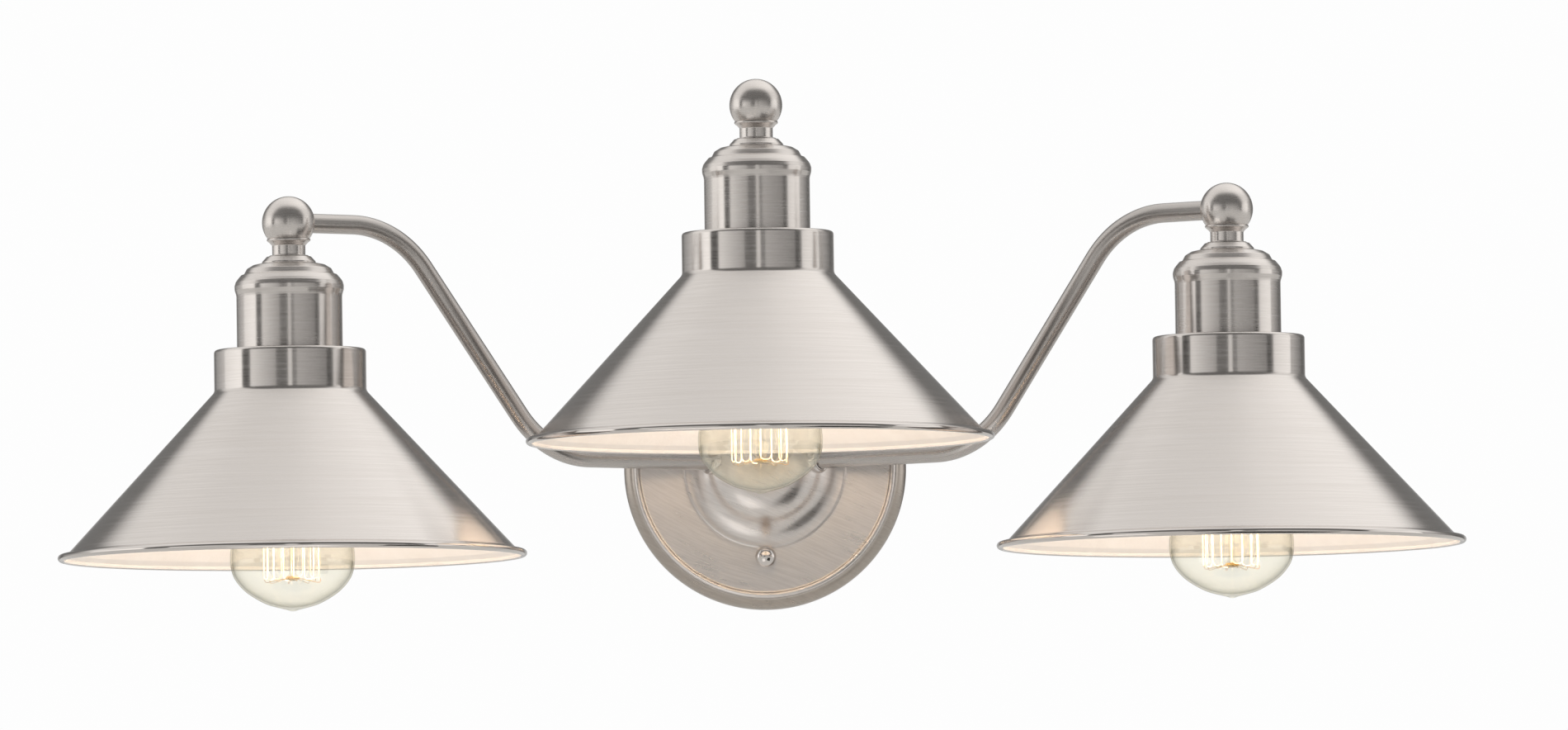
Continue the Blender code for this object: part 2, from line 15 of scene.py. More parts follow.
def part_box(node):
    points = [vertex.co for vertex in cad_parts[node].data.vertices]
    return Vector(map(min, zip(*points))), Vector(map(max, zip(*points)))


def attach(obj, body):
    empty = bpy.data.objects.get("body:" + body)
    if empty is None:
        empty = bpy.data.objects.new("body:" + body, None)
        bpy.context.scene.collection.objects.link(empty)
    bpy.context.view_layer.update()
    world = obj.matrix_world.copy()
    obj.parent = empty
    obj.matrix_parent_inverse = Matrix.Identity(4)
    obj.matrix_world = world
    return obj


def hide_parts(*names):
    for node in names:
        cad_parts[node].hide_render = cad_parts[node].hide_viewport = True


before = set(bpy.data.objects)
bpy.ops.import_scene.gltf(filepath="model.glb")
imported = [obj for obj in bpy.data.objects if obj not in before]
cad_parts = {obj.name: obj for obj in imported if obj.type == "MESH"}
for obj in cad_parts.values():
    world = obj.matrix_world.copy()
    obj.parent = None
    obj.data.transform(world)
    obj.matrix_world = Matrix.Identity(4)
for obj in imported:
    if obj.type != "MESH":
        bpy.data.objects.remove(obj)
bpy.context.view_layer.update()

print("CAD nodes:", len(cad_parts))

# %% [markdown]
# ## One wire for all node trees
# Materials and Geometry Nodes are both node trees, and writing them as formulas keeps them short.
# The class below wraps one socket. Adding or multiplying two of them adds the Math node that does
# it, and every other kind of node comes from its `node` method.

# %% A socket with operators


class Wire:
    """A socket of a node tree. Its operators add the Math nodes they stand for."""

    def __init__(self, tree, socket=None):
        self.tree = tree
        self.socket = socket

    def node(self, kind, settings=None, inputs=None, out=0):
        """Adds a node: its settings first, then its sockets' values or links."""
        made = self.tree.nodes.new(kind)
        for name, value in (settings or {}).items():
            if name == "stops":
                elements = made.color_ramp.elements
                while len(elements) < len(value):
                    elements.new(0.5)
                for element, (place, colour) in zip(elements, value):
                    element.position = place
                    element.color = colour
            else:
                setattr(made, name, value)
        for name, value in (inputs or {}).items():
            if isinstance(value, Wire):
                self.tree.links.new(value.socket, made.inputs[name])
            else:
                made.inputs[name].default_value = value
        return Wire(self.tree, made.outputs[out])

    def math(self, operation, first, second=None, third=None):
        values = [v for v in (first, second, third) if v is not None]
        return self.node("ShaderNodeMath", {"operation": operation}, dict(enumerate(values)))

    def __add__(self, other):
        return self.math("ADD", self, other)

    def __radd__(self, other):
        return self.math("ADD", other, self)

    def __sub__(self, other):
        return self.math("SUBTRACT", self, other)

    def __rsub__(self, other):
        return self.math("SUBTRACT", other, self)

    def __mul__(self, other):
        return self.math("MULTIPLY", self, other)

    def __rmul__(self, other):
        return self.math("MULTIPLY", other, self)

    def __truediv__(self, other):
        return self.math("DIVIDE", self, other)

    def __gt__(self, other):
        return self.math("GREATER_THAN", self, other)

    def __lt__(self, other):
        return self.math("LESS_THAN", self, other)

    def step(self, low, high):
        """0 below low, 1 above high, and a soft rise between them."""
        rise = {"Value": self, "From Min": low, "From Max": high, "To Min": 0.0, "To Max": 1.0}
        return self.node("ShaderNodeMapRange", {"interpolation_type": "SMOOTHSTEP"}, rise)

    def blend(self, low, high):
        """A number between low and high, with this wire as the share of high."""
        return self.node("ShaderNodeMix", {"data_type": "FLOAT"}, {0: self, 2: low, 3: high})

    def tint(self, low, high):
        """A colour between low and high, with this wire as the share of high."""
        return self.node("ShaderNodeMix", {"data_type": "RGBA"}, {0: self, 6: low, 7: high}, 2)

    def scaled(self, by):
        """A vector multiplied side by side with by."""
        return self.node("ShaderNodeVectorMath", {"operation": "MULTIPLY"}, {0: self, 1: by})

    def parts(self):
        """The x, y and z of a vector."""
        x = self.node("ShaderNodeSeparateXYZ", {}, {0: self})
        outs = x.socket.node.outputs
        return [Wire(self.tree, outs[i]) for i in range(3)]

    def noise(self, scale, detail=2.0, roughness=0.5):
        """Noise at this wire's place."""
        values = {"Vector": self, "Scale": scale, "Detail": detail, "Roughness": roughness}
        return self.node("ShaderNodeTexNoise", {}, values)

    def vector(self, x, y, z):
        """A vector from three numbers or wires."""
        return self.node("ShaderNodeCombineXYZ", {}, {"X": x, "Y": y, "Z": z})

    def own_place(self):
        """A material's place on the object, in metres."""
        return self.node("ShaderNodeTexCoord", out="Object")

    def stored(self, name, kind="FLOAT_VECTOR"):
        """What a mesh keeps at each point under a name."""
        settings = {"data_type": kind}
        return self.node("GeometryNodeInputNamedAttribute", settings, {"Name": name}, "Attribute")

    def store(self, name, value, kind="FLOAT_VECTOR"):
        """This shape with a value kept at each point under a name."""
        settings = {"data_type": kind, "domain": "POINT"}
        values = {"Geometry": self, "Name": name, "Value": value}
        return self.node("GeometryNodeStoreNamedAttribute", settings, values)

    def sample(self, value, index, kind="FLOAT_VECTOR"):
        """The value that this shape has at the point of that number."""
        values = {"Geometry": self, "Value": value, "Index": index}
        return self.node("GeometryNodeSampleIndex", {"data_type": kind}, values)

    def circle(self, sides, radius):
        return self.node("GeometryNodeCurvePrimitiveCircle", {}, {"Resolution": sides, "Radius": radius})

    def swept(self, section):
        """This path with a section carried along it and its ends closed."""
        values = {"Curve": self, "Profile Curve": section, "Fill Caps": True}
        return self.node("GeometryNodeCurveToMesh", {}, values)


print("Wire ready")

# %% [markdown]
# ## Where things are
# All sizes are in millimetres, like a workshop drawing, and become metres when a mesh is made. The
# CAD boxes give each lamp's axis and the height of its rim. The frame's +Y points into the wall.

# %% Lamp places
MM = 0.001
SIDES = ("centre", "left", "right")


def lamp_place(side):
    """(x of the lamp's axis, y of the axis, z of the rim's plane), in mm."""
    low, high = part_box("shade_" + side)
    bead = 1.7
    return ((low[0] + high[0]) / 2 / MM, (low[1] + high[1]) / 2 / MM, low[2] / MM + bead)


LAMPS = {side: lamp_place(side) for side in SIDES}
for side in SIDES:
    print(side, "axis and rim at", [round(v, 1) for v in LAMPS[side]])

# %% [markdown]
# ## The camera
# A long lens from nine metres away, slightly below the fixture and looking up at it, so that the
# shades show a sliver of their enamel and the three rims stay almost straight lines.

# %% Aim the camera
CAMERA_DISTANCE = 9000.0
AIM = Vector((12.01, -165.0, 41.75))
YAW = math.radians(0.69)
PITCH = math.radians(3.415)
ROLL = math.radians(-0.784)
SENSOR_MM = 36.0
VIEW_WIDTH_MM = 763.7

forward = Vector(
    (-math.sin(YAW) * math.cos(PITCH), math.cos(YAW) * math.cos(PITCH), math.sin(PITCH))
)
level_right = Vector((math.cos(YAW), math.sin(YAW), 0.0))
level_up = level_right.cross(forward)
right = level_right * math.cos(ROLL) + level_up * math.sin(ROLL)
up = level_up * math.cos(ROLL) - level_right * math.sin(ROLL)

camera_data = bpy.data.cameras.new("studio_camera")
camera_data.sensor_width = SENSOR_MM
camera_data.sensor_fit = "HORIZONTAL"
camera_data.lens = CAMERA_DISTANCE * SENSOR_MM / VIEW_WIDTH_MM
camera_data.clip_end = 100.0
camera = bpy.data.objects.new("studio_camera", camera_data)
bpy.context.scene.collection.objects.link(camera)
turn = Matrix((right, up, -forward)).transposed().to_4x4()
camera.matrix_world = Matrix.Translation((AIM - forward * CAMERA_DISTANCE) * MM) @ turn
bpy.context.scene.camera = camera
print("lens", round(camera_data.lens, 1), "mm")

# %% [markdown]
# ## The studio
# Metal shows what surrounds it, so the studio matters as much as the finish. The world is drawn by
# direction: a ring of soft panels and black flags at the height of the fixture, a large soft box
# overhead and a little behind, a dim room above the camera, and a bright floor. What the camera
# sees directly is plain white paper.

# %% The ring of panels and flags
# Each is (name, from, to, light at its start, light at its end), in degrees round the object. 0 is
# towards the camera and 90 to its right. Later ones stand in front of earlier ones.
RING = (
    ("left wall", -152, -114, 0.30, 0.72),
    ("left soft box", -116, -76, 1.02, 1.36),
    ("left flag", -75, -64, 0.02, 0.05),
    ("left front panel", -61, -19, 1.08, 0.46),
    ("stand left of the camera", -18, -5, 0.14, 0.12),
    ("camera window", -1, 5, 0.98, 1.02),
    ("stand right of the camera", 7, 11, 0.22, 0.30),
    ("right front panel", 12, 60, 0.58, 0.26),
    ("right flag", 60, 67, 0.03, 0.06),
    ("right soft box", 71, 108, 1.00, 1.22),
    ("right wall", 109, 146, 0.58, 0.12),
)
ROOM_LIGHT = 0.16
EDGE = 2.5


def band(azimuth, start, stop):
    """1 between two angles and 0 outside them, with soft edges."""
    away = azimuth.math("ABSOLUTE", azimuth - (start + stop) / 2)
    half = (stop - start) / 2
    return 1 - away.step(half - EDGE / 2, half + EDGE / 2)


def draw_studio():
    """The world: light by direction."""
    world = bpy.data.worlds.new("studio")
    bpy.context.scene.world = world
    world.use_nodes = True
    tree = world.node_tree
    tree.nodes.clear()
    start = Wire(tree)
    x, y, z = start.node("ShaderNodeTexCoord", out="Generated").parts()
    azimuth = start.math("ARCTAN2", x, 0 - y) * math.degrees(1)
    height = start.math("ARCSINE", z) * math.degrees(1)
    behind = start.math("ABSOLUTE", azimuth)
    ring = behind.step(156, 172).blend(ROOM_LIGHT, 0.5)
    for _, begin, end, first, last in RING:
        slope = (last - first) / (end - begin)
        ring = band(azimuth, begin, end).blend(ring, (azimuth - begin) * slope + first)
    low_behind = behind.step(118, 146) * (1 - height.step(27, 42)) * height.step(5, 12)
    ring = low_behind.blend(ring, 0.20)
    # The overhead soft box leans back over the object.
    lean = y * 0.42 + z * 0.90
    box = lean.step(0.62, 0.86)
    zenith = (z - x * 0.25).step(0.92, 1.01)
    side_glow = (1 - zenith * 0.04) * (1.06 + x * 0.27)
    front_dim = (0 - y).step(0.05, 0.35)
    overhead = box.blend(front_dim.blend(0.90, 0.16), side_glow)
    rise = front_dim.blend(behind.step(118, 146).blend(height.step(12, 26), height.step(27, 42)),
                           height.step(9, 20))
    sky = rise.blend(ring, overhead)
    floor = (0 - height).step(10, 20)
    light = floor.blend(sky, 0.80)
    camera_ray = start.node("ShaderNodeLightPath", out="Is Camera Ray")
    strength = camera_ray.blend(light, 0.985)
    colour = camera_ray.tint((1.0, 0.995, 0.98, 1.0), (1.0, 1.0, 1.0, 1.0))
    glow = start.node("ShaderNodeBackground", {}, {"Color": colour, "Strength": strength})
    end = tree.nodes.new("ShaderNodeOutputWorld")
    tree.links.new(glow.socket, end.inputs["Surface"])
    return len(tree.nodes)


print("studio nodes:", draw_studio())
bpy.context.scene.view_settings.view_transform = "Standard"
bpy.context.scene.view_settings.look = "None"

# %% [markdown]
# ## Finishes
# Every finish is procedural. Turned parts carry an attribute called `round`: the cosine and sine of
# the angle round the axis, and the distance run along the outline in millimetres. Noise that is slow
# in the first two and fast in the third gives the fine rings that a lathe and an abrasive pad leave.

# %% Start a material


def new_finish(name):
    """An empty material with a Principled shader, and a Wire to build from."""
    material = bpy.data.materials.new(name)
    material.use_nodes = True
    tree = material.node_tree
    shader = tree.nodes["Principled BSDF"]
    return material, shader, Wire(tree)


def feed(shader, **sockets):
    """Links wires to the shader's sockets, or sets their constants."""
    for label, value in sockets.items():
        socket = shader.inputs[label.replace("_", " ")]
        if isinstance(value, Wire):
            value.tree.links.new(value.socket, socket)
        else:
            socket.default_value = value


def bump(height, distance):
    """The Normal of a surface raised by height, distance in metres."""
    return height.node("ShaderNodeBump", {}, {"Height": height, "Distance": distance, "Strength": 1.0})


print("finish helpers ready")

# %% [markdown]
# ### Brushed nickel
# Satin nickel plate is brushed steel under a clear lacquer: warm grey, with fine parallel scratches.
# The scratches stretch reflections across them, so turned parts use a tangent that spreads light up
# and down the part and keeps the bands round it crisp. Outside its ridge the canopy's colour is set a
# little darker, a painted shade on its cove and band, and the tubes are darker than the spun sheet.

# %% Brushed nickel for turned parts and tubes
NICKEL_LIGHT = (0.757, 0.714, 0.685, 1.0)
NICKEL_DEEP = (0.677, 0.630, 0.596, 1.0)
# The share of colour kept where shade is painted on the canopy's cove and outer band.
NICKEL_PAINTED_SHADE = (0.60, 0.57, 0.53)


def scaled_tone(colour, by):
    return (colour[0] * by, colour[1] * by, colour[2] * by, 1.0)


def round_mark(start):
    """The lathe's and the bender's own coordinate."""
    return start.node("ShaderNodeAttribute", {"attribute_name": "round"}, {}, "Vector")


def brushed(name, place, rough, depth, stretch=0.0, turned=0.0, burnish=None, painted_shade_radii=None, tone=1.0,
            contrast=0.0):
    """Nickel whose scratches follow the slow directions of place, a vector wire in millimetres.

    stretch and turned shape the reflections, burnish is a stretch of the outline that is smoother by
    its third number, and beyond a given pair of radii the colour is darkened as painted shade.
    """
    material, shader, start = new_finish(name)
    where = place(start)
    hair = where.noise(1.0, 3.0, 0.65)
    broad = where.scaled((0.5, 0.5, 0.3)).noise(1.0, 2.0, 0.5)
    patch = start.own_place().noise(38.0, 2.0, 0.5)
    mark = hair.step(0.32, 0.70)
    shade = mark * 0.6 + broad.step(0.3, 0.7) * 0.15 + patch * 0.25
    deep = scaled_tone(NICKEL_DEEP, tone * (1 - contrast))
    colour = shade.tint(deep, scaled_tone(NICKEL_LIGHT, tone))
    gloss = rough + (mark - 0.5) * 0.05 + (patch - 0.5) * 0.04
    if burnish:
        run = round_mark(start).parts()[2]
        rim = (run > burnish[0]) * (run < burnish[1])
        gloss = gloss - rim * burnish[2]
    # Painted shade: past the given radii the colour is darkened, standing in for shade over the canopy's
    # cove and outer band.
    if painted_shade_radii:
        x, _, z = start.own_place().parts()
        out = start.math("SQRT", x * x + z * z).step(painted_shade_radii[0] * MM, painted_shade_radii[1] * MM)
        colour = out.tint(colour, colour.scaled(NICKEL_PAINTED_SHADE))
    feed(
        shader,
        Base_Color=colour,
        Metallic=1.0,
        Roughness=gloss,
        Normal=bump(hair, depth),
        Anisotropic=stretch,
        Anisotropic_Rotation=turned,
    )
    return material


def round_place(scale):
    """The round coordinate, stretched so that noise runs round the part."""
    return lambda start: round_mark(start).scaled(scale)


BRUSH_SLANT = math.radians(24)


def wall_place(start):
    """Scratches that slant down across the canopy and waver a little."""
    here = start.own_place()
    x, y, z = here.parts()
    along = x * math.cos(BRUSH_SLANT) - z * math.sin(BRUSH_SLANT)
    across = x * math.sin(BRUSH_SLANT) + z * math.cos(BRUSH_SLANT)
    drift = here.noise(11.0, 1.0) * 0.016
    return start.vector(along * 60, y * 200, (across + drift) * 1150)


turned_nickel = brushed("turned_nickel", round_place((1.6, 1.6, 2.6)), 0.25, 0.000009, 0.85, 0.25)
knob_nickel = brushed("knob_nickel", round_place((1.3, 1.3, 2.2)), 0.27, 0.000004, 0.35, 0.25)
tube_nickel = brushed("tube_nickel", round_place((6.0, 6.0, 0.03)), 0.28, 0.000002, tone=0.76)
# Radii past which the canopy's cove and outer band get painted shade.
BAND_EDGE = (64.3, 65.6)
canopy_nickel = brushed(
    "canopy_nickel", wall_place, 0.30, 0.000012, painted_shade_radii=BAND_EDGE, tone=1.12, contrast=0.07
)
polished_nickel = brushed("polished_nickel", round_place((1.0, 1.0, 1.0)), 0.10, 0.000002)
print("nickel finishes:", 5)

# %% [markdown]
# ### Enamel, porcelain and plastics
# The shade's lining is sprayed enamel: cream, slightly uneven and glossy. Porcelain is whiter with a
# few grey specks. Both get a faint orange-peel bump.

# %% Enamel and other painted or moulded finishes


def coated(name, light, deep, rough, peel, grain, metal=0.0, coat=0.0):
    """A coated or cast surface: colour drifts between two tones and the skin is slightly uneven."""
    material, shader, start = new_finish(name)
    here = start.own_place()
    cloud = here.noise(grain, 3.0, 0.6)
    skin = here.noise(grain * 9, 2.0, 0.5)
    speck = here.noise(grain * 22, 1.0, 0.5).step(0.68, 0.76)
    tone = cloud.step(0.3, 0.7) * 0.8 + skin * 0.2 - speck * 0.25
    feed(
        shader,
        Base_Color=tone.tint(deep, light),
        Metallic=metal,
        Roughness=rough + (skin - 0.5) * 0.12 + speck * 0.1,
        Normal=bump(skin + cloud * 0.6, peel),
        Coat_Weight=coat,
        Coat_Roughness=0.08,
    )
    return material


enamel = coated("cream_enamel", (0.93, 0.86, 0.80, 1), (0.89, 0.81, 0.745, 1), 0.34, 0.00006, 60)
porcelain = coated("porcelain", (0.90, 0.89, 0.86, 1), (0.80, 0.79, 0.75, 1), 0.22, 0.00004, 90)
plastic = coated("connector_plastic", (0.62, 0.12, 0.05, 1), (0.45, 0.07, 0.03, 1), 0.42, 0.00005, 150)
insulation = coated("lead_insulation", (0.05, 0.05, 0.055, 1), (0.02, 0.02, 0.02, 1), 0.5, 0.00005, 200)
green = coated("ground_green", (0.05, 0.30, 0.10, 1), (0.02, 0.18, 0.05, 1), 0.35, 0.00003, 200, 0.7)
zinc = coated("zinc_plated_steel", (0.70, 0.71, 0.70, 1), (0.44, 0.47, 0.48, 1), 0.33, 0.00003, 130, 1.0)
brass = coated("brass", (0.86, 0.62, 0.28, 1), (0.66, 0.43, 0.16, 1), 0.27, 0.00002, 160, 1.0)
print("coated finishes:", 7)

# %% [markdown]
# ### Clear glass and the glowing wire
# The bulb is thin blown glass. Light passes straight through, so it is a mix of a clear, faintly
# green film and a mirror that grows towards the edge. The edge is also a little darker, because one
# looks along the wall there.

# %% Bulb glass and filament


def blown_glass():
    material, shader, start = new_finish("bulb_glass")
    here = start.own_place()
    ripple = here.noise(45.0, 2.0, 0.5)
    feed(
        shader,
        Base_Color=ripple.tint((0.93, 0.95, 0.92, 1), (1, 1, 1, 1)),
        Roughness=0.02 + ripple * 0.02,
        Normal=bump(ripple, 0.0004),
        Specular_IOR_Level=0.5,
        Metallic=1.0,
    )
    facing = start.node("ShaderNodeLayerWeight", {}, {"Blend": 0.50}, "Facing")
    edge = start.math("POWER", facing, 5.0)
    film = edge.tint((0.985, 0.982, 0.955, 1), (0.50, 0.50, 0.42, 1))
    clear = start.node("ShaderNodeBsdfTransparent", {}, {"Color": film})
    share = start.math("POWER", facing, 4.0) * 0.45 + 0.06 + ripple * 0.02
    mirror = Wire(material.node_tree, shader.outputs[0])
    mixed = start.node("ShaderNodeMixShader", {}, {0: share, 1: clear, 2: mirror})
    end = material.node_tree.nodes["Material Output"]
    material.node_tree.links.new(mixed.socket, end.inputs["Surface"])
    return material


def glowing_wire():
    material, shader, start = new_finish("glowing_filament")
    here = start.own_place()
    heat = here.noise(260.0, 1.0).step(0.3, 0.7)
    feed(
        shader,
        Base_Color=(0.25, 0.2, 0.15, 1),
        Roughness=0.4 + heat * 0.1,
        Emission_Color=heat.tint((1.0, 0.58, 0.25, 1), (1.0, 0.82, 0.54, 1)),
        Emission_Strength=2.3,
        Normal=bump(heat, 0.00002),
    )
    return material


glass = blown_glass()
filament_glow = glowing_wire()
print("glass and filament ready")

# %% [markdown]
# ## A lathe made of Geometry Nodes
# Most of this fixture is turned or spun from sheet, so one rule makes it: take an outline of radius
# and height and carry it round the axis. The tree lays out a grid with one row for each step of the
# turn, looks up the outline point of each grid point and moves it into place. A helix added to the
# radius makes screw threads, and a wave round the axis makes finger ribs.

# %% Build the lathe


def new_tree(name, inputs):
    """A Geometry Nodes tree with named inputs, its Wires by name, and the id of each input."""
    tree = bpy.data.node_groups.new(name, "GeometryNodeTree")
    tree.interface.new_socket("Geometry", in_out="INPUT", socket_type="NodeSocketGeometry")
    tree.interface.new_socket("Geometry", in_out="OUTPUT", socket_type="NodeSocketGeometry")
    ids = {}
    for label, kind in inputs:
        socket = tree.interface.new_socket(label, in_out="INPUT", socket_type="NodeSocket" + kind)
        ids[label] = socket.identifier
    entry = tree.nodes.new("NodeGroupInput")
    wires = {socket.name: Wire(tree, socket) for socket in entry.outputs if socket.name}
    return tree, wires, ids


def end_tree(tree, shape, finish, where=True):
    """Ends a tree as the export needs it: real geometry with its material."""
    real = shape.node("GeometryNodeRealizeInstances", {}, {0: shape})
    values = {"Geometry": real, "Selection": where, "Material": finish}
    done = real.node("GeometryNodeSetMaterial", {}, values)
    leave = tree.nodes.new("NodeGroupOutput")
    tree.links.new(done.socket, leave.inputs[0])


def build_lathe():
    labels = (
        ("Steps", "Int"), ("Thread Depth", "Float"), ("Thread Pitch", "Float"),
        ("Thread From", "Float"), ("Thread To", "Float"), ("Rib Depth", "Float"), ("Ribs", "Float"),
        ("Finish", "Material"), ("Lining", "Material"), ("Lining From", "Float"),
    )
    tree, given, ids = new_tree("lathe", labels)
    outline = given["Geometry"]
    count = outline.node(
        "GeometryNodeAttributeDomainSize", {"component": "MESH"}, {"Geometry": outline}, "Point Count"
    )
    rows = given["Steps"] + 1
    grid = outline.node("GeometryNodeMeshGrid", {}, {"Vertices X": rows, "Vertices Y": count})
    index = outline.node("GeometryNodeInputIndex")
    row = outline.math("FLOOR", (index + 0.5) / count)
    column = index - row * count
    here = outline.node("GeometryNodeInputPosition")
    run = outline.sample(outline.stored("run", "FLOAT"), column, "FLOAT")
    radius, _, height = outline.sample(here, column).parts()
    angle = row / given["Steps"] * math.tau
    cosine = outline.math("COSINE", angle)
    sine = outline.math("SINE", angle)
    helix = outline.math("COSINE", height / given["Thread Pitch"] * math.tau - angle)
    inside = (height > given["Thread From"]) * (height < given["Thread To"])
    rib = outline.math("COSINE", angle * given["Ribs"])
    off_axis = radius > 0.0005
    wide = radius + off_axis * (helix * inside * given["Thread Depth"] + rib * given["Rib Depth"])
    place = outline.vector(wide * cosine, wide * sine, height)
    moved = outline.node("GeometryNodeSetPosition", {}, {"Geometry": grid, "Position": place})
    kept = moved.store("round", outline.vector(cosine, sine, run))
    merged = outline.node(
        "GeometryNodeMergeByDistance", {}, {"Geometry": kept, "Distance": 0.000002}
    )
    smooth = outline.node("GeometryNodeSetShadeSmooth", {}, {"Geometry": merged})
    outer = outline.node(
        "GeometryNodeSetMaterial", {}, {"Geometry": smooth, "Material": given["Finish"]}
    )
    far = outline.stored("round").parts()[2] > given["Lining From"]
    end_tree(tree, outer, given["Lining"], far)
    return tree, ids


LATHE, LATHE_IDS = build_lathe()
print("lathe nodes:", len(LATHE.nodes))

# %% [markdown]
# ## From a tree to a plain mesh
# A modifier carries the tree. Its inputs are set by identifier before the object is evaluated once,
# and the result is copied into a new plain mesh. Points are then moved to their place, so that the
# object itself stays at the origin. Faces are turned outwards, and hard corners are marked sharp.

# %% Evaluate, place and tidy
SHARP = math.radians(38)


def plain(name, source, tree, ids, values, place):
    """Runs tree over the source mesh and returns an object with the result as its own mesh."""
    holder = bpy.data.objects.new(name + "_source", source)
    bpy.context.scene.collection.objects.link(holder)
    modifier = holder.modifiers.new("nodes", "NODES")
    modifier.node_group = tree
    for label, value in values.items():
        modifier[ids[label]] = value
    graph = bpy.context.evaluated_depsgraph_get()
    mesh = bpy.data.meshes.new_from_object(holder.evaluated_get(graph))
    holder.modifiers.remove(modifier)
    bpy.data.objects.remove(holder)
    mesh.name = name
    mesh.transform(place)
    shape = bmesh.new()
    shape.from_mesh(mesh)
    bmesh.ops.remove_doubles(shape, verts=shape.verts, dist=0.000002)
    bmesh.ops.dissolve_degenerate(shape, edges=shape.edges, dist=0.000001)
    bmesh.ops.recalc_face_normals(shape, faces=shape.faces)
    shape.to_mesh(mesh)
    shape.free()
    mesh.set_sharp_from_angle(angle=SHARP)
    piece = bpy.data.objects.new(name, mesh)
    bpy.context.scene.collection.objects.link(piece)
    return piece


def keep(piece, body, slot, *nodes):
    """Tells the frame which body moves a piece and the CAD nodes it stands for. slot is not used."""
    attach(piece, body)
    if nodes:
        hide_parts(*nodes)
    return piece


print("plain mesh helper ready")

# %% [markdown]
# ## Outlines
# An outline is a list of (radius, height) points. Corners may carry a third number, the radius of
# their rounding. Real spun and turned edges are never knife sharp, and the small roundings are what
# catch the light. A pair of extra points beside each corner keeps the flat walls flat in shading.

# %% Outline helpers


def arc(centre, radius, start, end, steps):
    """Points on a circle from start to end degrees."""
    points = []
    for i in range(steps + 1):
        a = math.radians(start + (end - start) * i / steps)
        points.append((centre[0] + radius * math.cos(a), centre[1] + radius * math.sin(a)))
    return points


def curve(points, steps):
    """A smooth curve through the points."""
    ends = [points[0]] + list(points) + [points[-1]]
    out = []
    for a, b, c, d in zip(ends, ends[1:], ends[2:], ends[3:]):
        for i in range(steps):
            t = i / steps
            out.append(
                tuple(
                    0.5 * (2 * q + (r - p) * t + (2 * p - 5 * q + 4 * r - s) * t * t
                           + (3 * q - p - 3 * r + s) * t ** 3)
                    for p, q, r, s in zip(a, b, c, d)
                )
            )
    return out + [points[-1]]


def rounded(corners, steps=4):
    """Replaces each corner that has a third number by a rounding of that radius."""
    out = []
    for i, corner in enumerate(corners):
        here = Vector(corner[:2])
        if len(corner) < 3 or i in (0, len(corners) - 1):
            out.append(tuple(here))
            continue
        back = (Vector(corners[i - 1][:2]) - here).normalized()
        ahead = (Vector(corners[i + 1][:2]) - here).normalized()
        half = back.angle(ahead) / 2
        reach = corner[2] / math.tan(half)
        centre = here + (back + ahead).normalized() * corner[2] / math.sin(half)
        first = here + back * reach - centre
        last = here + ahead * reach - centre
        sweep = first.angle_signed(last)
        for k in range(steps + 1):
            spoke = first.copy()
            spoke.rotate(Matrix.Rotation(-sweep * k / steps, 2))
            out.append(tuple(centre + spoke))
    return out


SUPPORT = 0.3


def supported(points):
    """Adds a point beside each corner on every long straight."""
    out = [points[0]]
    for a, b in zip(points, points[1:]):
        p = Vector(a)
        q = Vector(b)
        length = (q - p).length
        if length > 4 * SUPPORT:
            out.append(tuple(p.lerp(q, SUPPORT / length)))
            out.append(tuple(p.lerp(q, 1 - SUPPORT / length)))
        if length > 0.001:
            out.append(b)
    return out


def outline_mesh(points):
    """The outline as a mesh of points and edges, in metres, with the length run along it."""
    mesh = bpy.data.meshes.new("outline")
    places = [(p[0] * MM, 0.0, p[1] * MM) for p in points]
    mesh.from_pydata(places, [(i, i + 1) for i in range(len(points) - 1)], [])
    run = mesh.attributes.new("run", "FLOAT", "POINT")
    total = 0.0
    for i, p in enumerate(points):
        if i:
            total += math.dist(p, points[i - 1])
        run.data[i].value = total
    return mesh


def length_of(points):
    return sum(math.dist(a, b) for a, b in zip(points, points[1:]))


NO_LINING = 100000.0


def turned(name, points, finish, place=Matrix(), steps=96, closed=False, lining=None,
           lining_from=NO_LINING, thread=(0, 1, 0, 0), ribs=(0, 1)):
    """Turns an outline about Z. A closed outline makes a ring, an open one starts on the axis.

    thread is (depth, pitch, from, to) and ribs is (depth, how many).
    """
    if closed:
        points = list(points) + [points[0]]
    values = {
        "Steps": steps,
        "Thread Depth": thread[0] * MM,
        "Thread Pitch": thread[1] * MM,
        "Thread From": thread[2] * MM,
        "Thread To": thread[3] * MM,
        "Rib Depth": ribs[0] * MM,
        "Ribs": float(ribs[1]),
        "Finish": finish,
        "Lining": lining or finish,
        "Lining From": lining_from,
    }
    return plain(name, outline_mesh(points), LATHE, LATHE_IDS, values, place)


def at(x, y, z):
    return Matrix.Translation(Vector((x, y, z)) * MM)


print("corner check:", len(rounded([(0, 0), (10, 0, 1), (10, 10)])), "points")

# %% [markdown]
# ## The shades
# Each shade is one spun cone of sheet metal with a short collar on top and its rim rolled over a wire.
# Its outside is brushed nickel and its inside cream enamel, so the lathe changes material where the
# outline passes the rim. The cone is the part everybody looks at, so it gets the most steps.

# %% Turn the shades
COLLAR_R = 37.1
COLLAR_TOP = 100.6
COLLAR_FOOT = 80.0
CONE_SLOPE = 0.927
RIM_BEAD = 1.7
BEAD_CENTRE = 112.6
SHADE_WALL = 1.0
FITTER_R = 20.2
LINE_AFTER = 1.0


def cone_r(height):
    return COLLAR_R + CONE_SLOPE * (COLLAR_FOOT - height)


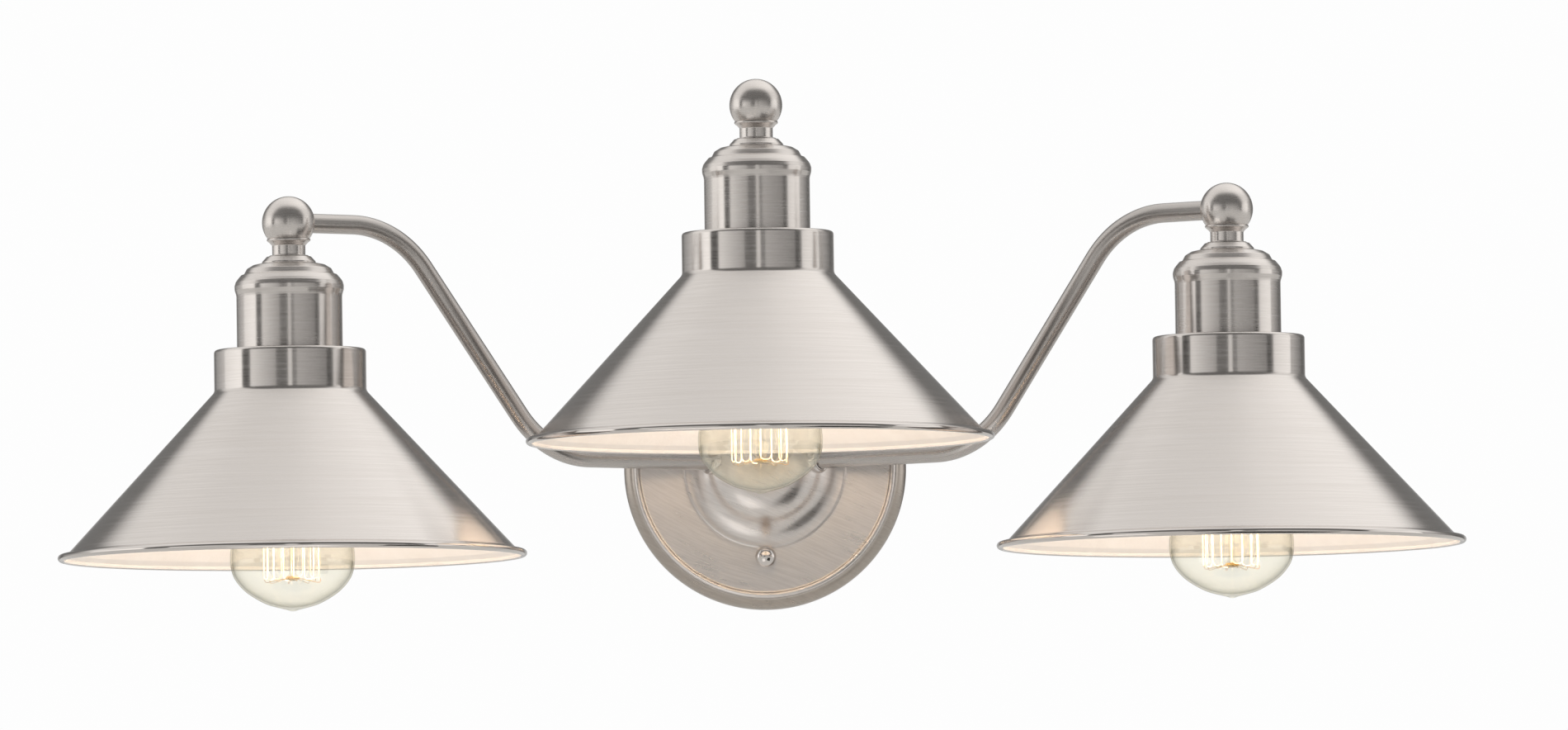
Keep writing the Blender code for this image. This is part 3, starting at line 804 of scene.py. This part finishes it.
def shade_outline():
    """(outside with the rolled rim, enamel side)"""
    outside = rounded(
        [
            (FITTER_R, COLLAR_TOP), (COLLAR_R, COLLAR_TOP, 1.6), (COLLAR_R, COLLAR_FOOT, 3.5),
            (cone_r(2.6), 2.6),
        ],
        6,
    )
    outside += arc((BEAD_CENTRE, 0.0), RIM_BEAD, 75, -165, 16)
    inner = rounded(
        [
            (BEAD_CENTRE - RIM_BEAD, 0.35), (cone_r(2.4) - 1.364, 2.4),
            (COLLAR_R - SHADE_WALL, COLLAR_FOOT - 0.6, 2.5),
            (COLLAR_R - SHADE_WALL, COLLAR_TOP - SHADE_WALL, 0.8),
            (FITTER_R, COLLAR_TOP - SHADE_WALL),
        ],
        5,
    )
    return supported(outside), supported(inner)


outside, inner = shade_outline()
whole = outside + inner
BEAD_RUN = 11.0
rim_polish = (length_of(outside) - BEAD_RUN, length_of(outside), 0.12)
shade_nickel = brushed(
    "shade_nickel", round_place((1.6, 1.6, 1.5)), 0.205, 0.000009, 0.9, 0.25, rim_polish, contrast=0.035
)
for side in SIDES:
    x, y, rim = LAMPS[side]
    shade = turned(
        "shade_shell_" + side,
        whole,
        shade_nickel,
        at(x, y, rim),
        steps=168,
        closed=True,
        lining=enamel,
        lining_from=length_of(outside) - LINE_AFTER,
    )
    keep(shade, "frame", "brushed_nickel", "shade_" + side)
print("shade outline:", len(whole), "points")

# %% [markdown]
# ## Socket cups and ball fittings
# The cup is a deep drawn cap with a stepped shoulder. On it stands a small turned foot, and on that
# a solid ball that takes the arm from the side.

# %% Turn the cups and balls
BALL_CENTRE = 162.5
BALL_R = 12.9
BORE_R = 5.05


def cup_outline():
    top = rounded(
        [
            (BORE_R, 145.9), (10.8, 145.9, 0.5), (13.1, 143.4, 0.6), (13.1, 142.8, 0.2),
            (17.6, 141.8, 1.0), (20.6, 140.0, 0.8), (22.0, 137.4, 0.7), (23.4, 137.0, 0.2),
            (24.6, 135.6, 0.5), (25.2, 134.9, 0.3), (26.1, 133.6, 0.8), (26.7, 131.6, 1.6),
            (26.6, 129.6, 1.6), (25.95, 127.4, 1.0), (25.8, 126.4, 0.6), (25.8, 100.9, 0.2),
            (25.0, 100.9, 0.2), (25.0, 127.5, 2.0), (23.8, 134.0, 2.0), (19.0, 138.8, 2.0),
            (BORE_R, 142.0),
        ],
        4,
    )
    return supported(top)


def ball_outline():
    ball = arc((0, BALL_CENTRE), BALL_R, 90, -38, 30)
    ring = arc((9.9, 154.0), 0.75, 50, -60, 6)
    foot = rounded(
        [
            ring[-1],
            (9.3, 152.6, 0.6), (8.1, 151.3, 0.5), (8.1, 146.6, 0.25), (9.6, 146.4, 0.3),
            (9.6, 146.2, 0.1), (0.0, 146.2),
        ],
        4,
    )
    return supported(ball + ring + foot[1:])


for side in SIDES:
    x, y, rim = LAMPS[side]
    cup = turned("socket_cap_" + side, cup_outline(), turned_nickel, at(x, y, rim), 112, True)
    keep(cup, "frame", "brushed_nickel", "socket_cup_" + side)
    ball = turned("ball_knob_" + side, ball_outline(), knob_nickel, at(x, y, rim), 80)
    keep(ball, "frame", "brushed_nickel", "ball_fitting_" + side)
print("cup outline:", len(cup_outline()), "points")

# %% [markdown]
# ## The canopy
# The round plate on the wall is spun too, but it was brushed after spinning with a flat pad, so its
# scratches slant across it. A rounded outer band, a cove, a raised ridge, the flat face and the dome that
# takes the arms are all one outline, turned about the axis that points out of the wall.

# %% Turn the canopy
OUT_OF_WALL = Matrix.Rotation(math.radians(90), 4, "X")


SHOULDER = (12.311, 14.773)
SHOULDER_R = 17.0
SWEEP = (38.6, 31.2)
SWEEP_R = 14.0
DOME_WALL = 1.2


def canopy_outline():
    dome = [(0.0, 32.37), (6.0, 32.24)] + arc(SHOULDER, SHOULDER_R, 86, 32, 16)
    sweep = arc(SWEEP, SWEEP_R, 212, 270, 18)[1:]
    front = [(39.6, 17.2), (39.95, 16.95), (40.15, 16.4), (40.5, 16.05), (41.2, 16.0)]
    ridge = [(61.2, 16.0), (61.75, 16.1)] + arc((63.2, 15.8), 1.4, 150, 10, 10)
    band = [(64.75, 13.7), (65.1, 12.75)] + arc((61.85, 5.0), 8.0, 60, 0, 14)
    outer = dome + sweep + front + ridge + band + [(69.85, 0.5), (69.6, 0.0), (68.9, 0.0)]
    back = [
        (68.65, 0.4), (68.65, 5.0), (67.0, 8.4), (64.2, 10.8), (62.2, 14.8), (39.6, 14.8),
    ]
    back += arc(SWEEP, SWEEP_R + DOME_WALL, 262, 212, 14)
    back += arc(SHOULDER, SHOULDER_R - DOME_WALL, 32, 90, 14)[1:]
    return supported(outer) + supported(back + [(0.0, 31.17)])


canopy = turned("canopy_plate", canopy_outline(), canopy_nickel, OUT_OF_WALL, 192)
keep(canopy, "frame", "brushed_nickel", "canopy")
print("canopy outline:", len(canopy_outline()), "points")

# %% [markdown]
# ## Cap nuts and studs
# Two polished ball nuts hold the canopy on threaded studs that come from the wall bracket. Each nut
# turns on its stud, so it rides on its own body. The thread is the lathe's helix.

# %% Turn the cap nuts and studs
STUD_Z = 44.45
CAP_CENTRE = 23.2
CAP_R = 5.2


def cap_outline():
    foot = [(0.0, 22.4), (2.35, 21.8), (2.35, 16.4), (4.0, 16.4, 0.2), (4.0, 17.3, 0.4)]
    foot = rounded(foot + [(3.2, 18.1, 0.3)], 3)
    ball = arc((0.0, CAP_CENTRE), CAP_R, -50, 90, 22)
    return foot[:-1] + ball


for name, z in (("upper", STUD_Z), ("lower", -STUD_Z)):
    place = at(0, 0, z) @ OUT_OF_WALL
    nut = turned("ball_nut_" + name, supported(cap_outline()), polished_nickel, place, 64)
    keep(nut, "nut_" + name, "polished_nickel", "cap_nut_" + name)
    rod = [(0.0, 0.3)] + [(1.95, 0.35 + 0.2 * i) for i in range(101)] + [(0.0, 20.9)]
    thread = (0.12, 0.8, 0.6, 20.3)
    stud = turned("threaded_stud_" + name, rod, zinc, place, 24, thread=thread)
    keep(stud, "frame", "zinc_plated_steel", "mounting_stud_" + name)
print("cap nuts and studs:", 4)

# %% [markdown]
# ## The arms
# Each arm is one bent tube. Its route is two or three straights joined by bends of the same radius,
# as a tube bender makes them. A second Geometry Nodes tree sweeps a circle along the route and keeps
# the same `round` attribute, so the brushing follows the tube.

# %% Build the tube bender


def build_bender():
    labels = (("Radius", "Float"), ("Sides", "Int"), ("Finish", "Material"))
    tree, given, ids = new_tree("tube_bender", labels)
    route = given["Geometry"]
    path = route.node("GeometryNodeMeshToCurve", {}, {0: route})
    length = route.node("GeometryNodeSplineParameter", {}, {}, "Length")
    path = path.store("along", length * 1000, "FLOAT")
    here = route.node("GeometryNodeInputPosition")
    unit = route.node("ShaderNodeVectorMath", {"operation": "NORMALIZE"}, {0: here})
    ring = route.circle(given["Sides"], given["Radius"]).store("spoke", unit)
    tube = path.swept(ring)
    x, y, _ = route.stored("spoke").parts()
    tube = tube.store("round", route.vector(x, y, route.stored("along", "FLOAT")))
    tube = route.node("GeometryNodeSetShadeSmooth", {}, {"Geometry": tube})
    end_tree(tree, tube, given["Finish"])
    return tree, ids


BENDER, BENDER_IDS = build_bender()


def route_mesh(points):
    """A route of points in millimetres, as a mesh of edges."""
    mesh = bpy.data.meshes.new("route")
    steps = [(i, i + 1) for i in range(len(points) - 1)]
    mesh.from_pydata([Vector(p) * MM for p in points], steps, [])
    return mesh


def bent(name, route, radius, finish, sides):
    """A round rod or tube along a route."""
    values = {"Radius": radius * MM, "Sides": sides, "Finish": finish}
    return plain(name, route_mesh(route), BENDER, BENDER_IDS, values, Matrix())


print("bender nodes:", len(BENDER.nodes))

# %% Lay out the routes and bend the arms
ARM_R = 4.75
BEND_R = 52.0
ROOT_DEPTH = 14.773
ROOT_OFFSET = 12.311
INSET = 8.0
END_GAP = 5.0
SIDE_CLIMB = math.radians(52.2)
SIDE_TOP_RUN = 37.0
CENTRE_LEAN = math.radians(36)
COLLAR_SEAT = 17.0
SIDE_LIFT = 3.3


def side_profile(span, rise):
    """(distance out, height) of a side arm: level, a bend up, a slope, a bend back, level."""
    s = math.sin(SIDE_CLIMB)
    c = math.cos(SIDE_CLIMB)
    slope = (rise - 2 * BEND_R * (1 - c)) / s
    low_end = span - SIDE_TOP_RUN - (2 * BEND_R * s + slope * c)
    climb = math.degrees(SIDE_CLIMB)
    points = [(INSET, 0.0)]
    points += arc((low_end, BEND_R), BEND_R, -90, -90 + climb, 20)
    points += arc((span - SIDE_TOP_RUN, rise - BEND_R), BEND_R, 90 + climb, 90, 20)
    return points + [(span - END_GAP, rise)]


def centre_profile(span, rise):
    """The centre arm: up the wall with a slight lean, one bend, then level to the ball."""
    s = math.sin(CENTRE_LEAN)
    c = math.cos(CENTRE_LEAN)
    start = (INSET * s, INSET * c)
    climb = rise - BEND_R * (1 - s) - start[1]
    bend_x = start[0] + climb * math.tan(CENTRE_LEAN) + BEND_R * c
    points = [start] + arc((bend_x, rise - BEND_R), BEND_R, 180 - math.degrees(CENTRE_LEAN), 90, 24)
    return points + [(span - END_GAP, rise)]


def arm_route(side):
    """(points of the arm, where it starts, its first direction)"""
    x, y, rim = LAMPS[side]
    ball = Vector((x, y, rim + BALL_CENTRE))
    if side == "centre":
        root = Vector((0.0, -ROOT_DEPTH, ROOT_OFFSET))
        profile = centre_profile
    else:
        root = Vector((math.copysign(ROOT_OFFSET, x), -ROOT_DEPTH, SIDE_LIFT))
        profile = side_profile
    flat = Vector((ball.x - root.x, ball.y - root.y, 0.0))
    out = flat.normalized()
    points = [
        root + out * d + Vector((0, 0, h)) for d, h in profile(flat.length, ball.z - root.z)
    ]
    return points, root, (points[0] - root).normalized()


for side in SIDES:
    points, root, direction = arm_route(side)
    arm = bent("bent_arm_" + side, points, ARM_R, tube_nickel, 32)
    keep(arm, "frame", "brushed_nickel", "arm_" + side)
    seat = Matrix.Translation((root + direction * COLLAR_SEAT) * MM)
    seat = seat @ direction.to_track_quat("Z", "Y").to_matrix().to_4x4()
    ring = [(5.05, -2.6), (6.9, -2.6)] + arc((6.0, 1.5), 0.9, 0, 125, 12) + [(5.05, 2.45)]
    collar = turned("arm_collar_" + side, ring, polished_nickel, seat, 48, True)
    keep(collar, "frame", "polished_nickel", "arm_ring_" + side)
    print(side, "arm length", round(sum((b - a).length for a, b in zip(points, points[1:]))), "mm")

# %% [markdown]
# ## Lamp holders and shade rings
# Inside each shade a white porcelain holder hangs from the threaded nipple, and a porcelain ring
# screws up under the shade to hold it. They only show from below.

# %% Turn the holders, rings and nipples


def holder_outline():
    return supported(
        rounded(
            [
                (0.0, 87.2), (12.6, 87.2, 0.8), (14.6, 84.6, 0.6), (14.6, 54.0, 0.4),
                (18.6, 54.0, 0.5), (19.6, 55.0, 0.5), (19.6, 100.9, 0.1), (23.4, 100.9, 0.5),
                (23.4, 103.5, 0.5), (17.5, 103.9, 0.5), (16.5, 117.0, 1.0), (5.05, 117.0, 0.3),
                (5.05, 100.5, 0.1), (0.0, 100.0),
            ],
            3,
        )
    )


def ring_outline():
    return supported(
        rounded(
            [
                (20.3, 98.0), (20.3, 94.3, 0.5), (23.6, 94.3, 0.8), (24.2, 97.9, 0.3),
                (27.0, 97.9, 0.4), (27.0, 99.3, 0.3), (20.3, 99.3, 0.3), (20.3, 98.2),
            ],
            3,
        )
    )


for side in SIDES:
    x, y, rim = LAMPS[side]
    holder = turned("holder_body_" + side, holder_outline(), porcelain, at(x, y, rim), 80)
    keep(holder, "frame", "porcelain", "lamp_holder_" + side)
    ring = turned("holder_ring_" + side, ring_outline(), porcelain, at(x, y, rim), 90, True)
    keep(ring, "ring_" + side, "porcelain", "shade_ring_" + side)
    rod = [(3.4, 104.2)] + [(4.6, 104.2 + 0.25 * i) for i in range(191)] + [(3.4, 151.8)]
    nipple = turned(
        "nipple_rod_" + side, rod, zinc, at(x, y, rim), 32, True, thread=(0.15, 0.94, 104.6, 151.4)
    )
    keep(nipple, "frame", "zinc_plated_steel", "threaded_nipple_" + side)
print("holder parts:", 9)

# %% [markdown]
# ## The bulbs
# A squat blown bulb with a pip at its tip, a screwed brass base, a glass stem inside, and a filament
# strung up and down between wire hooks. Glass is a shell with an inner and an outer skin.

# %% Blow the glass and screw the base
BULB_R = 30.4
TIP = -27.0
NECK_R = 11.9
GLASS_WALL = 0.8
BULB_SIDE = [
    (6.4, 1.6), (13.5, 3.8), (22.0, 8.9), (27.1, 14.2), (29.6, 19.2), (BULB_R, 25.4), (29.6, 33.0),
    (26.2, 44.0), (21.2, 55.0), (16.2, 66.5), (12.8, 77.0), (NECK_R, 85.0), (NECK_R, 91.0),
]


def glass_skin(shrink):
    """The bulb's outline from beside the pip to the neck, drawn in by the wall."""
    return curve([(r - shrink, TIP + h + shrink * max(0.0, 1 - h / 20)) for r, h in BULB_SIDE], 6)


def glass_outline():
    pip = curve([(0.0, TIP), (1.2, TIP + 0.12), (3.0, TIP + 0.75), (6.4, TIP + 1.6)], 4)
    inner = glass_skin(GLASS_WALL)
    return pip[:-1] + glass_skin(0.0) + inner[::-1] + [(0.0, TIP + 1.7)]


def base_outline():
    body = [(0.0, 79.6), (12.0, 79.2)]
    wall = [(12.85, 57.6 + 0.3 * i) for i in range(69)]
    cap = rounded([(12.4, 78.4), (6.0, 81.4, 0.6), (4.8, 82.6, 0.4), (0.0, 83.0)], 3)
    inner = [(12.0, 79.0), (12.0, 57.4), (12.85, 57.3)]
    return [body[0]] + inner + wall + cap


STEM = [
    (0.0, 60.5), (10.4, 60.5), (9.4, 57.5), (5.0, 50.0), (2.4, 44.0), (1.5, 36.0), (1.5, -8.5),
    (2.6, -9.6), (3.1, -10.6), (2.8, -11.6), (1.2, -12.2), (0.0, -12.3),
]

for side in SIDES:
    x, y, rim = LAMPS[side]
    bulb = turned("bulb_shell_" + side, glass_outline(), glass, at(x, y, rim), 112)
    keep(bulb, "bulb_" + side, "bulb_glass", "bulb_glass_" + side)
    stem = turned("glass_stem_" + side, STEM, glass, at(x, y, rim), 32)
    keep(stem, "bulb_" + side, "bulb_glass", "bulb_stem_" + side)
    base = turned(
        "screw_base_" + side, base_outline(), brass, at(x, y, rim), 56, thread=(0.33, 3.63, 58.2, 77.6)
    )
    keep(base, "bulb_" + side, "brass", "bulb_base_" + side)
print("bulb outline:", len(glass_outline()), "points")

# %% [markdown]
# ### The filament
# One wire goes up and down between the hooks all the way round. That is a rule on the number of each
# point: two points for each leg, and top and bottom in the order top, bottom, bottom, top. A second
# rule sets a fine hook at every bottom loop, from the stem's button outwards.

# %% Build the filament winder


def build_winder():
    labels = (
        ("Legs", "Int"), ("Radius", "Float"), ("Bottom", "Float"), ("Top", "Float"),
        ("Wire", "Float"), ("Finish", "Material"),
    )
    tree, given, ids = new_tree("filament_winder", labels)
    start = given["Geometry"]
    count = given["Legs"] * 2
    line = start.node("GeometryNodeMeshLine", {}, {"Count": count})
    index = start.node("GeometryNodeInputIndex")
    leg = start.math("FLOOR", (index + 0.5) / 2)
    angle = leg / given["Legs"] * math.tau
    order = start.math("FLOORED_MODULO", index, 4)
    low = (order > 0.5) * (order < 2.5)
    height = low.blend(given["Top"], given["Bottom"])
    wobble = start.node("ShaderNodeTexWhiteNoise", {"noise_dimensions": "1D"}, {"W": leg + 3.5})
    radius = given["Radius"] * (0.94 + wobble * 0.12)
    height = height + low * (wobble - 0.5) * 0.0012
    place = start.vector(
        radius * start.math("COSINE", angle), radius * start.math("SINE", angle), height
    )
    placed = start.node("GeometryNodeSetPosition", {}, {"Geometry": line, "Position": place})
    path = start.node("GeometryNodeMeshToCurve", {}, {0: placed})
    soft = start.node(
        "GeometryNodeFilletCurve", {"mode": "POLY"}, {"Curve": path, "Count": 4, "Radius": 0.0022}
    )
    end_tree(tree, soft.swept(start.circle(6, given["Wire"])), given["Finish"])
    return tree, ids


def build_spokes():
    labels = (("Count", "Int"), ("Wire", "Float"), ("Finish", "Material"))
    tree, given, ids = new_tree("hook_spokes", labels)
    shape = given["Geometry"]
    path = shape.node("GeometryNodeMeshToCurve", {}, {0: shape})
    hook = path.swept(shape.circle(5, given["Wire"]))
    line = shape.node("GeometryNodeMeshLine", {}, {"Count": given["Count"], "Offset": (0, 0, 0)})
    index = shape.node("GeometryNodeInputIndex")
    angle = (index + 0.25) / given["Count"] * math.tau
    spin = shape.vector(0.0, 0.0, angle)
    many = shape.node(
        "GeometryNodeInstanceOnPoints", {}, {"Points": line, "Instance": hook, "Rotation": spin}
    )
    end_tree(tree, many, given["Finish"])
    return tree, ids


WINDER, WINDER_IDS = build_winder()
SPOKES, SPOKES_IDS = build_spokes()
print("winder nodes:", len(WINDER.nodes), "spoke nodes:", len(SPOKES.nodes))

# %% Wind the filaments
LEGS = 16
CAGE_R = 13.4
CAGE_BOTTOM = -11.4
CAGE_TOP = 42.0
HOOK = [(2.6, 0, -11.0), (7.0, 0, -11.6), (12.0, 0, -12.9), (13.2, 0, -12.9)]
HOOK += [(13.9, 0, -12.0), (13.5, 0, -11.0)]
BUTTON = supported(rounded([(1.6, -9.8), (3.3, -10.2, 0.3), (3.4, -11.4, 0.3), (1.6, -11.9)], 3))
TOP_HOOK = [(1.4, 0, 36.5), (6.0, 0, 40.5), (11.5, 0, 42.6), (13.4, 0, 42.4)]


def joined(name, parts):
    """Several plain objects as one."""
    shape = bmesh.new()
    finishes = []
    for part in parts:
        shift = len(finishes)
        finishes += list(part.data.materials)
        before = len(shape.faces)
        shape.from_mesh(part.data)
        shape.faces.ensure_lookup_table()
        for face in shape.faces[before:]:
            face.material_index += shift
        bpy.data.objects.remove(part)
    mesh = bpy.data.meshes.new(name)
    shape.to_mesh(mesh)
    shape.free()
    for finish in finishes:
        mesh.materials.append(finish)
    piece = bpy.data.objects.new(name, mesh)
    bpy.context.scene.collection.objects.link(piece)
    return piece


for side in SIDES:
    x, y, rim = LAMPS[side]
    place = at(x, y, rim)
    values = {
        "Legs": LEGS,
        "Radius": CAGE_R * MM,
        "Bottom": CAGE_BOTTOM * MM,
        "Top": CAGE_TOP * MM,
        "Wire": 0.24 * MM,
        "Finish": filament_glow,
    }
    cage = plain("cage", route_mesh([(0, 0, 0), (1, 0, 0)]), WINDER, WINDER_IDS, values, place)
    values = {"Count": LEGS // 2, "Wire": 0.13 * MM, "Finish": brass}
    low_hooks = plain("hooks", route_mesh(HOOK), SPOKES, SPOKES_IDS, values, place)
    top_hooks = plain("hooks", route_mesh(TOP_HOOK), SPOKES, SPOKES_IDS, values, place)
    button = turned("button", BUTTON, brass, place, 24, True)
    wire = joined("filament_cage_" + side, [cage, low_hooks, top_hooks, button])
    keep(wire, "bulb_" + side, "filament", "filament_" + side)
print("filament faces:", len(wire.data.polygons))

# %% [markdown]
# ## Wiring behind the canopy
# Two ribbed wire nuts join the leads where the canopy hides them. The ribs are the lathe's wave.

# %% Turn the wire nuts
for name, x in (("line", -5.2), ("neutral", 5.2)):
    shell = [(0.0, -10.0), (2.6, -8.0), (3.4, 0.0), (4.0, 0.2), (4.3, -0.2), (4.1, -6.0), (3.9, -12.0)]
    shell = supported(shell + [(3.4, -17.4), (2.9, -18.6), (0.0, -19.0)])
    nut = turned("ribbed_nut_" + name, shell, plastic, at(x, -8.5, -16.5), 96, ribs=(0.12, 16))
    keep(nut, "frame", "connector_plastic", "wire_nut_" + name)
print("wire nuts:", 2)

# %% [markdown]
# ## Parts kept from the CAD model
# Flat and hexagonal parts are right as they are, and only take a finish.

# %% Finish the CAD parts
KEPT = {
    "wall_bracket": zinc,
    "arm_locknut": zinc,
    "cup_locknut": zinc,
    "screw_shell": brass,
    "socket_contact": brass,
    "ground_screw": green,
    "lead": insulation,
}
for name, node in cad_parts.items():
    for start, finish in KEPT.items():
        if name.startswith(start):
            for slot in node.material_slots:
                slot.material = finish
            if not node.material_slots:
                node.data.materials.append(finish)
print("finished CAD nodes:", sum(name.startswith(tuple(KEPT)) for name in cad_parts))

# %% [markdown]
# ## Warm light and the floor
# Each bulb holds two small lights that the camera can't see: one fills the enamel with a cream glow,
# and a far weaker one sends orange glints over the nickel, because one light strong enough for the
# enamel would burn white spots into the metal. The floor is plain and far below.

# %% Light the bulbs
LIGHT_R = 14
LIGHT_UP = 8
BULB_WATTS = 0.31
GLINT_WATTS = 0.03
ENAMEL_GLOW = (1.0, 0.91, 0.845)
NICKEL_GLINT = (1.0, 0.58, 0.28)


def bulb_light(name, place, watts, colour, on_nickel):
    """A small light that the camera can't see, and that lights either mirrors or matt things."""
    data = bpy.data.lights.new(name, "POINT")
    data.energy = watts
    data.color = colour
    data.shadow_soft_size = LIGHT_R * MM
    lamp = bpy.data.objects.new(name, data)
    lamp.location = Vector(place) * MM
    lamp.visible_camera = False
    lamp.visible_glossy = on_nickel
    lamp.visible_diffuse = not on_nickel
    bpy.context.scene.collection.objects.link(lamp)


for side in SIDES:
    x, y, rim = LAMPS[side]
    middle = (x, y, rim + LIGHT_UP)
    bulb_light("bulb_glow_" + side, middle, BULB_WATTS, ENAMEL_GLOW, False)
    bulb_light("bulb_glint_" + side, middle, GLINT_WATTS, NICKEL_GLINT, True)
print("bulb lights:", 2 * len(SIDES))

# %% Lay the floor
FLOOR_DROP = -0.8
FLOOR_HALF = 7.0
floor_finish, floor_shader, start = new_finish("pale_floor")
mottle = start.own_place().noise(3.0, 3.0)
feed(
    floor_shader,
    Base_Color=mottle.tint((0.80, 0.80, 0.79, 1), (0.84, 0.84, 0.83, 1)),
    Roughness=0.8,
    Emission_Color=(1.0, 1.0, 0.99, 1.0),
    Emission_Strength=0.10,
)


def square(name, half, place, finish):
    """A flat square of the studio, which isn't part of the object."""
    corners = [(-1, -1), (1, -1), (1, 1), (-1, 1)]
    mesh = bpy.data.meshes.new(name)
    mesh.from_pydata([(a * half, b * half, 0) for a, b in corners], [], [(0, 1, 2, 3)])
    mesh.transform(place)
    mesh.materials.append(finish)
    sheet = bpy.data.objects.new(name, mesh)
    bpy.context.scene.collection.objects.link(sheet)
    return sheet


square("floor", FLOOR_HALF, Matrix.Translation((0, 0, FLOOR_DROP)), floor_finish)
print("floor at", FLOOR_DROP)

# %% [markdown]
# ### A black card below
# Round metal looks flat when all below it is pale. A studio hangs a black card low on the right and
# a white one low on the left, where the camera can't see them, and the dome and the balls get shape.

# %% Hang the cards
DOME_FRONT = Vector((0, -0.08, 0))
CARDS = (
    ("black_card", (0.30, -0.42, -0.34), 0.17, 0.03, 0.0),
    ("white_card", (-0.20, -0.40, -0.40), 0.15, 0.85, 0.55),
)
for name, middle, half, tone, glow in CARDS:
    finish, shader, start = new_finish(name)
    grain = start.own_place().noise(30.0)
    colour = grain.tint(scaled_tone((tone,) * 3, 0.9), scaled_tone((tone,) * 3, 1.0))
    feed(shader, Base_Color=colour, Roughness=0.9)
    feed(shader, Emission_Color=(1, 1, 1, 1), Emission_Strength=glow)
    face = (DOME_FRONT - Vector(middle)).to_track_quat("Z", "Y").to_matrix().to_4x4()
    card = square(name, half, Matrix.Translation(middle) @ face, finish)
    card.visible_camera = False
    card.visible_diffuse = False
    card.visible_shadow = False
print("cards:", len(CARDS))

# %% End of the scene
print("scene ready")
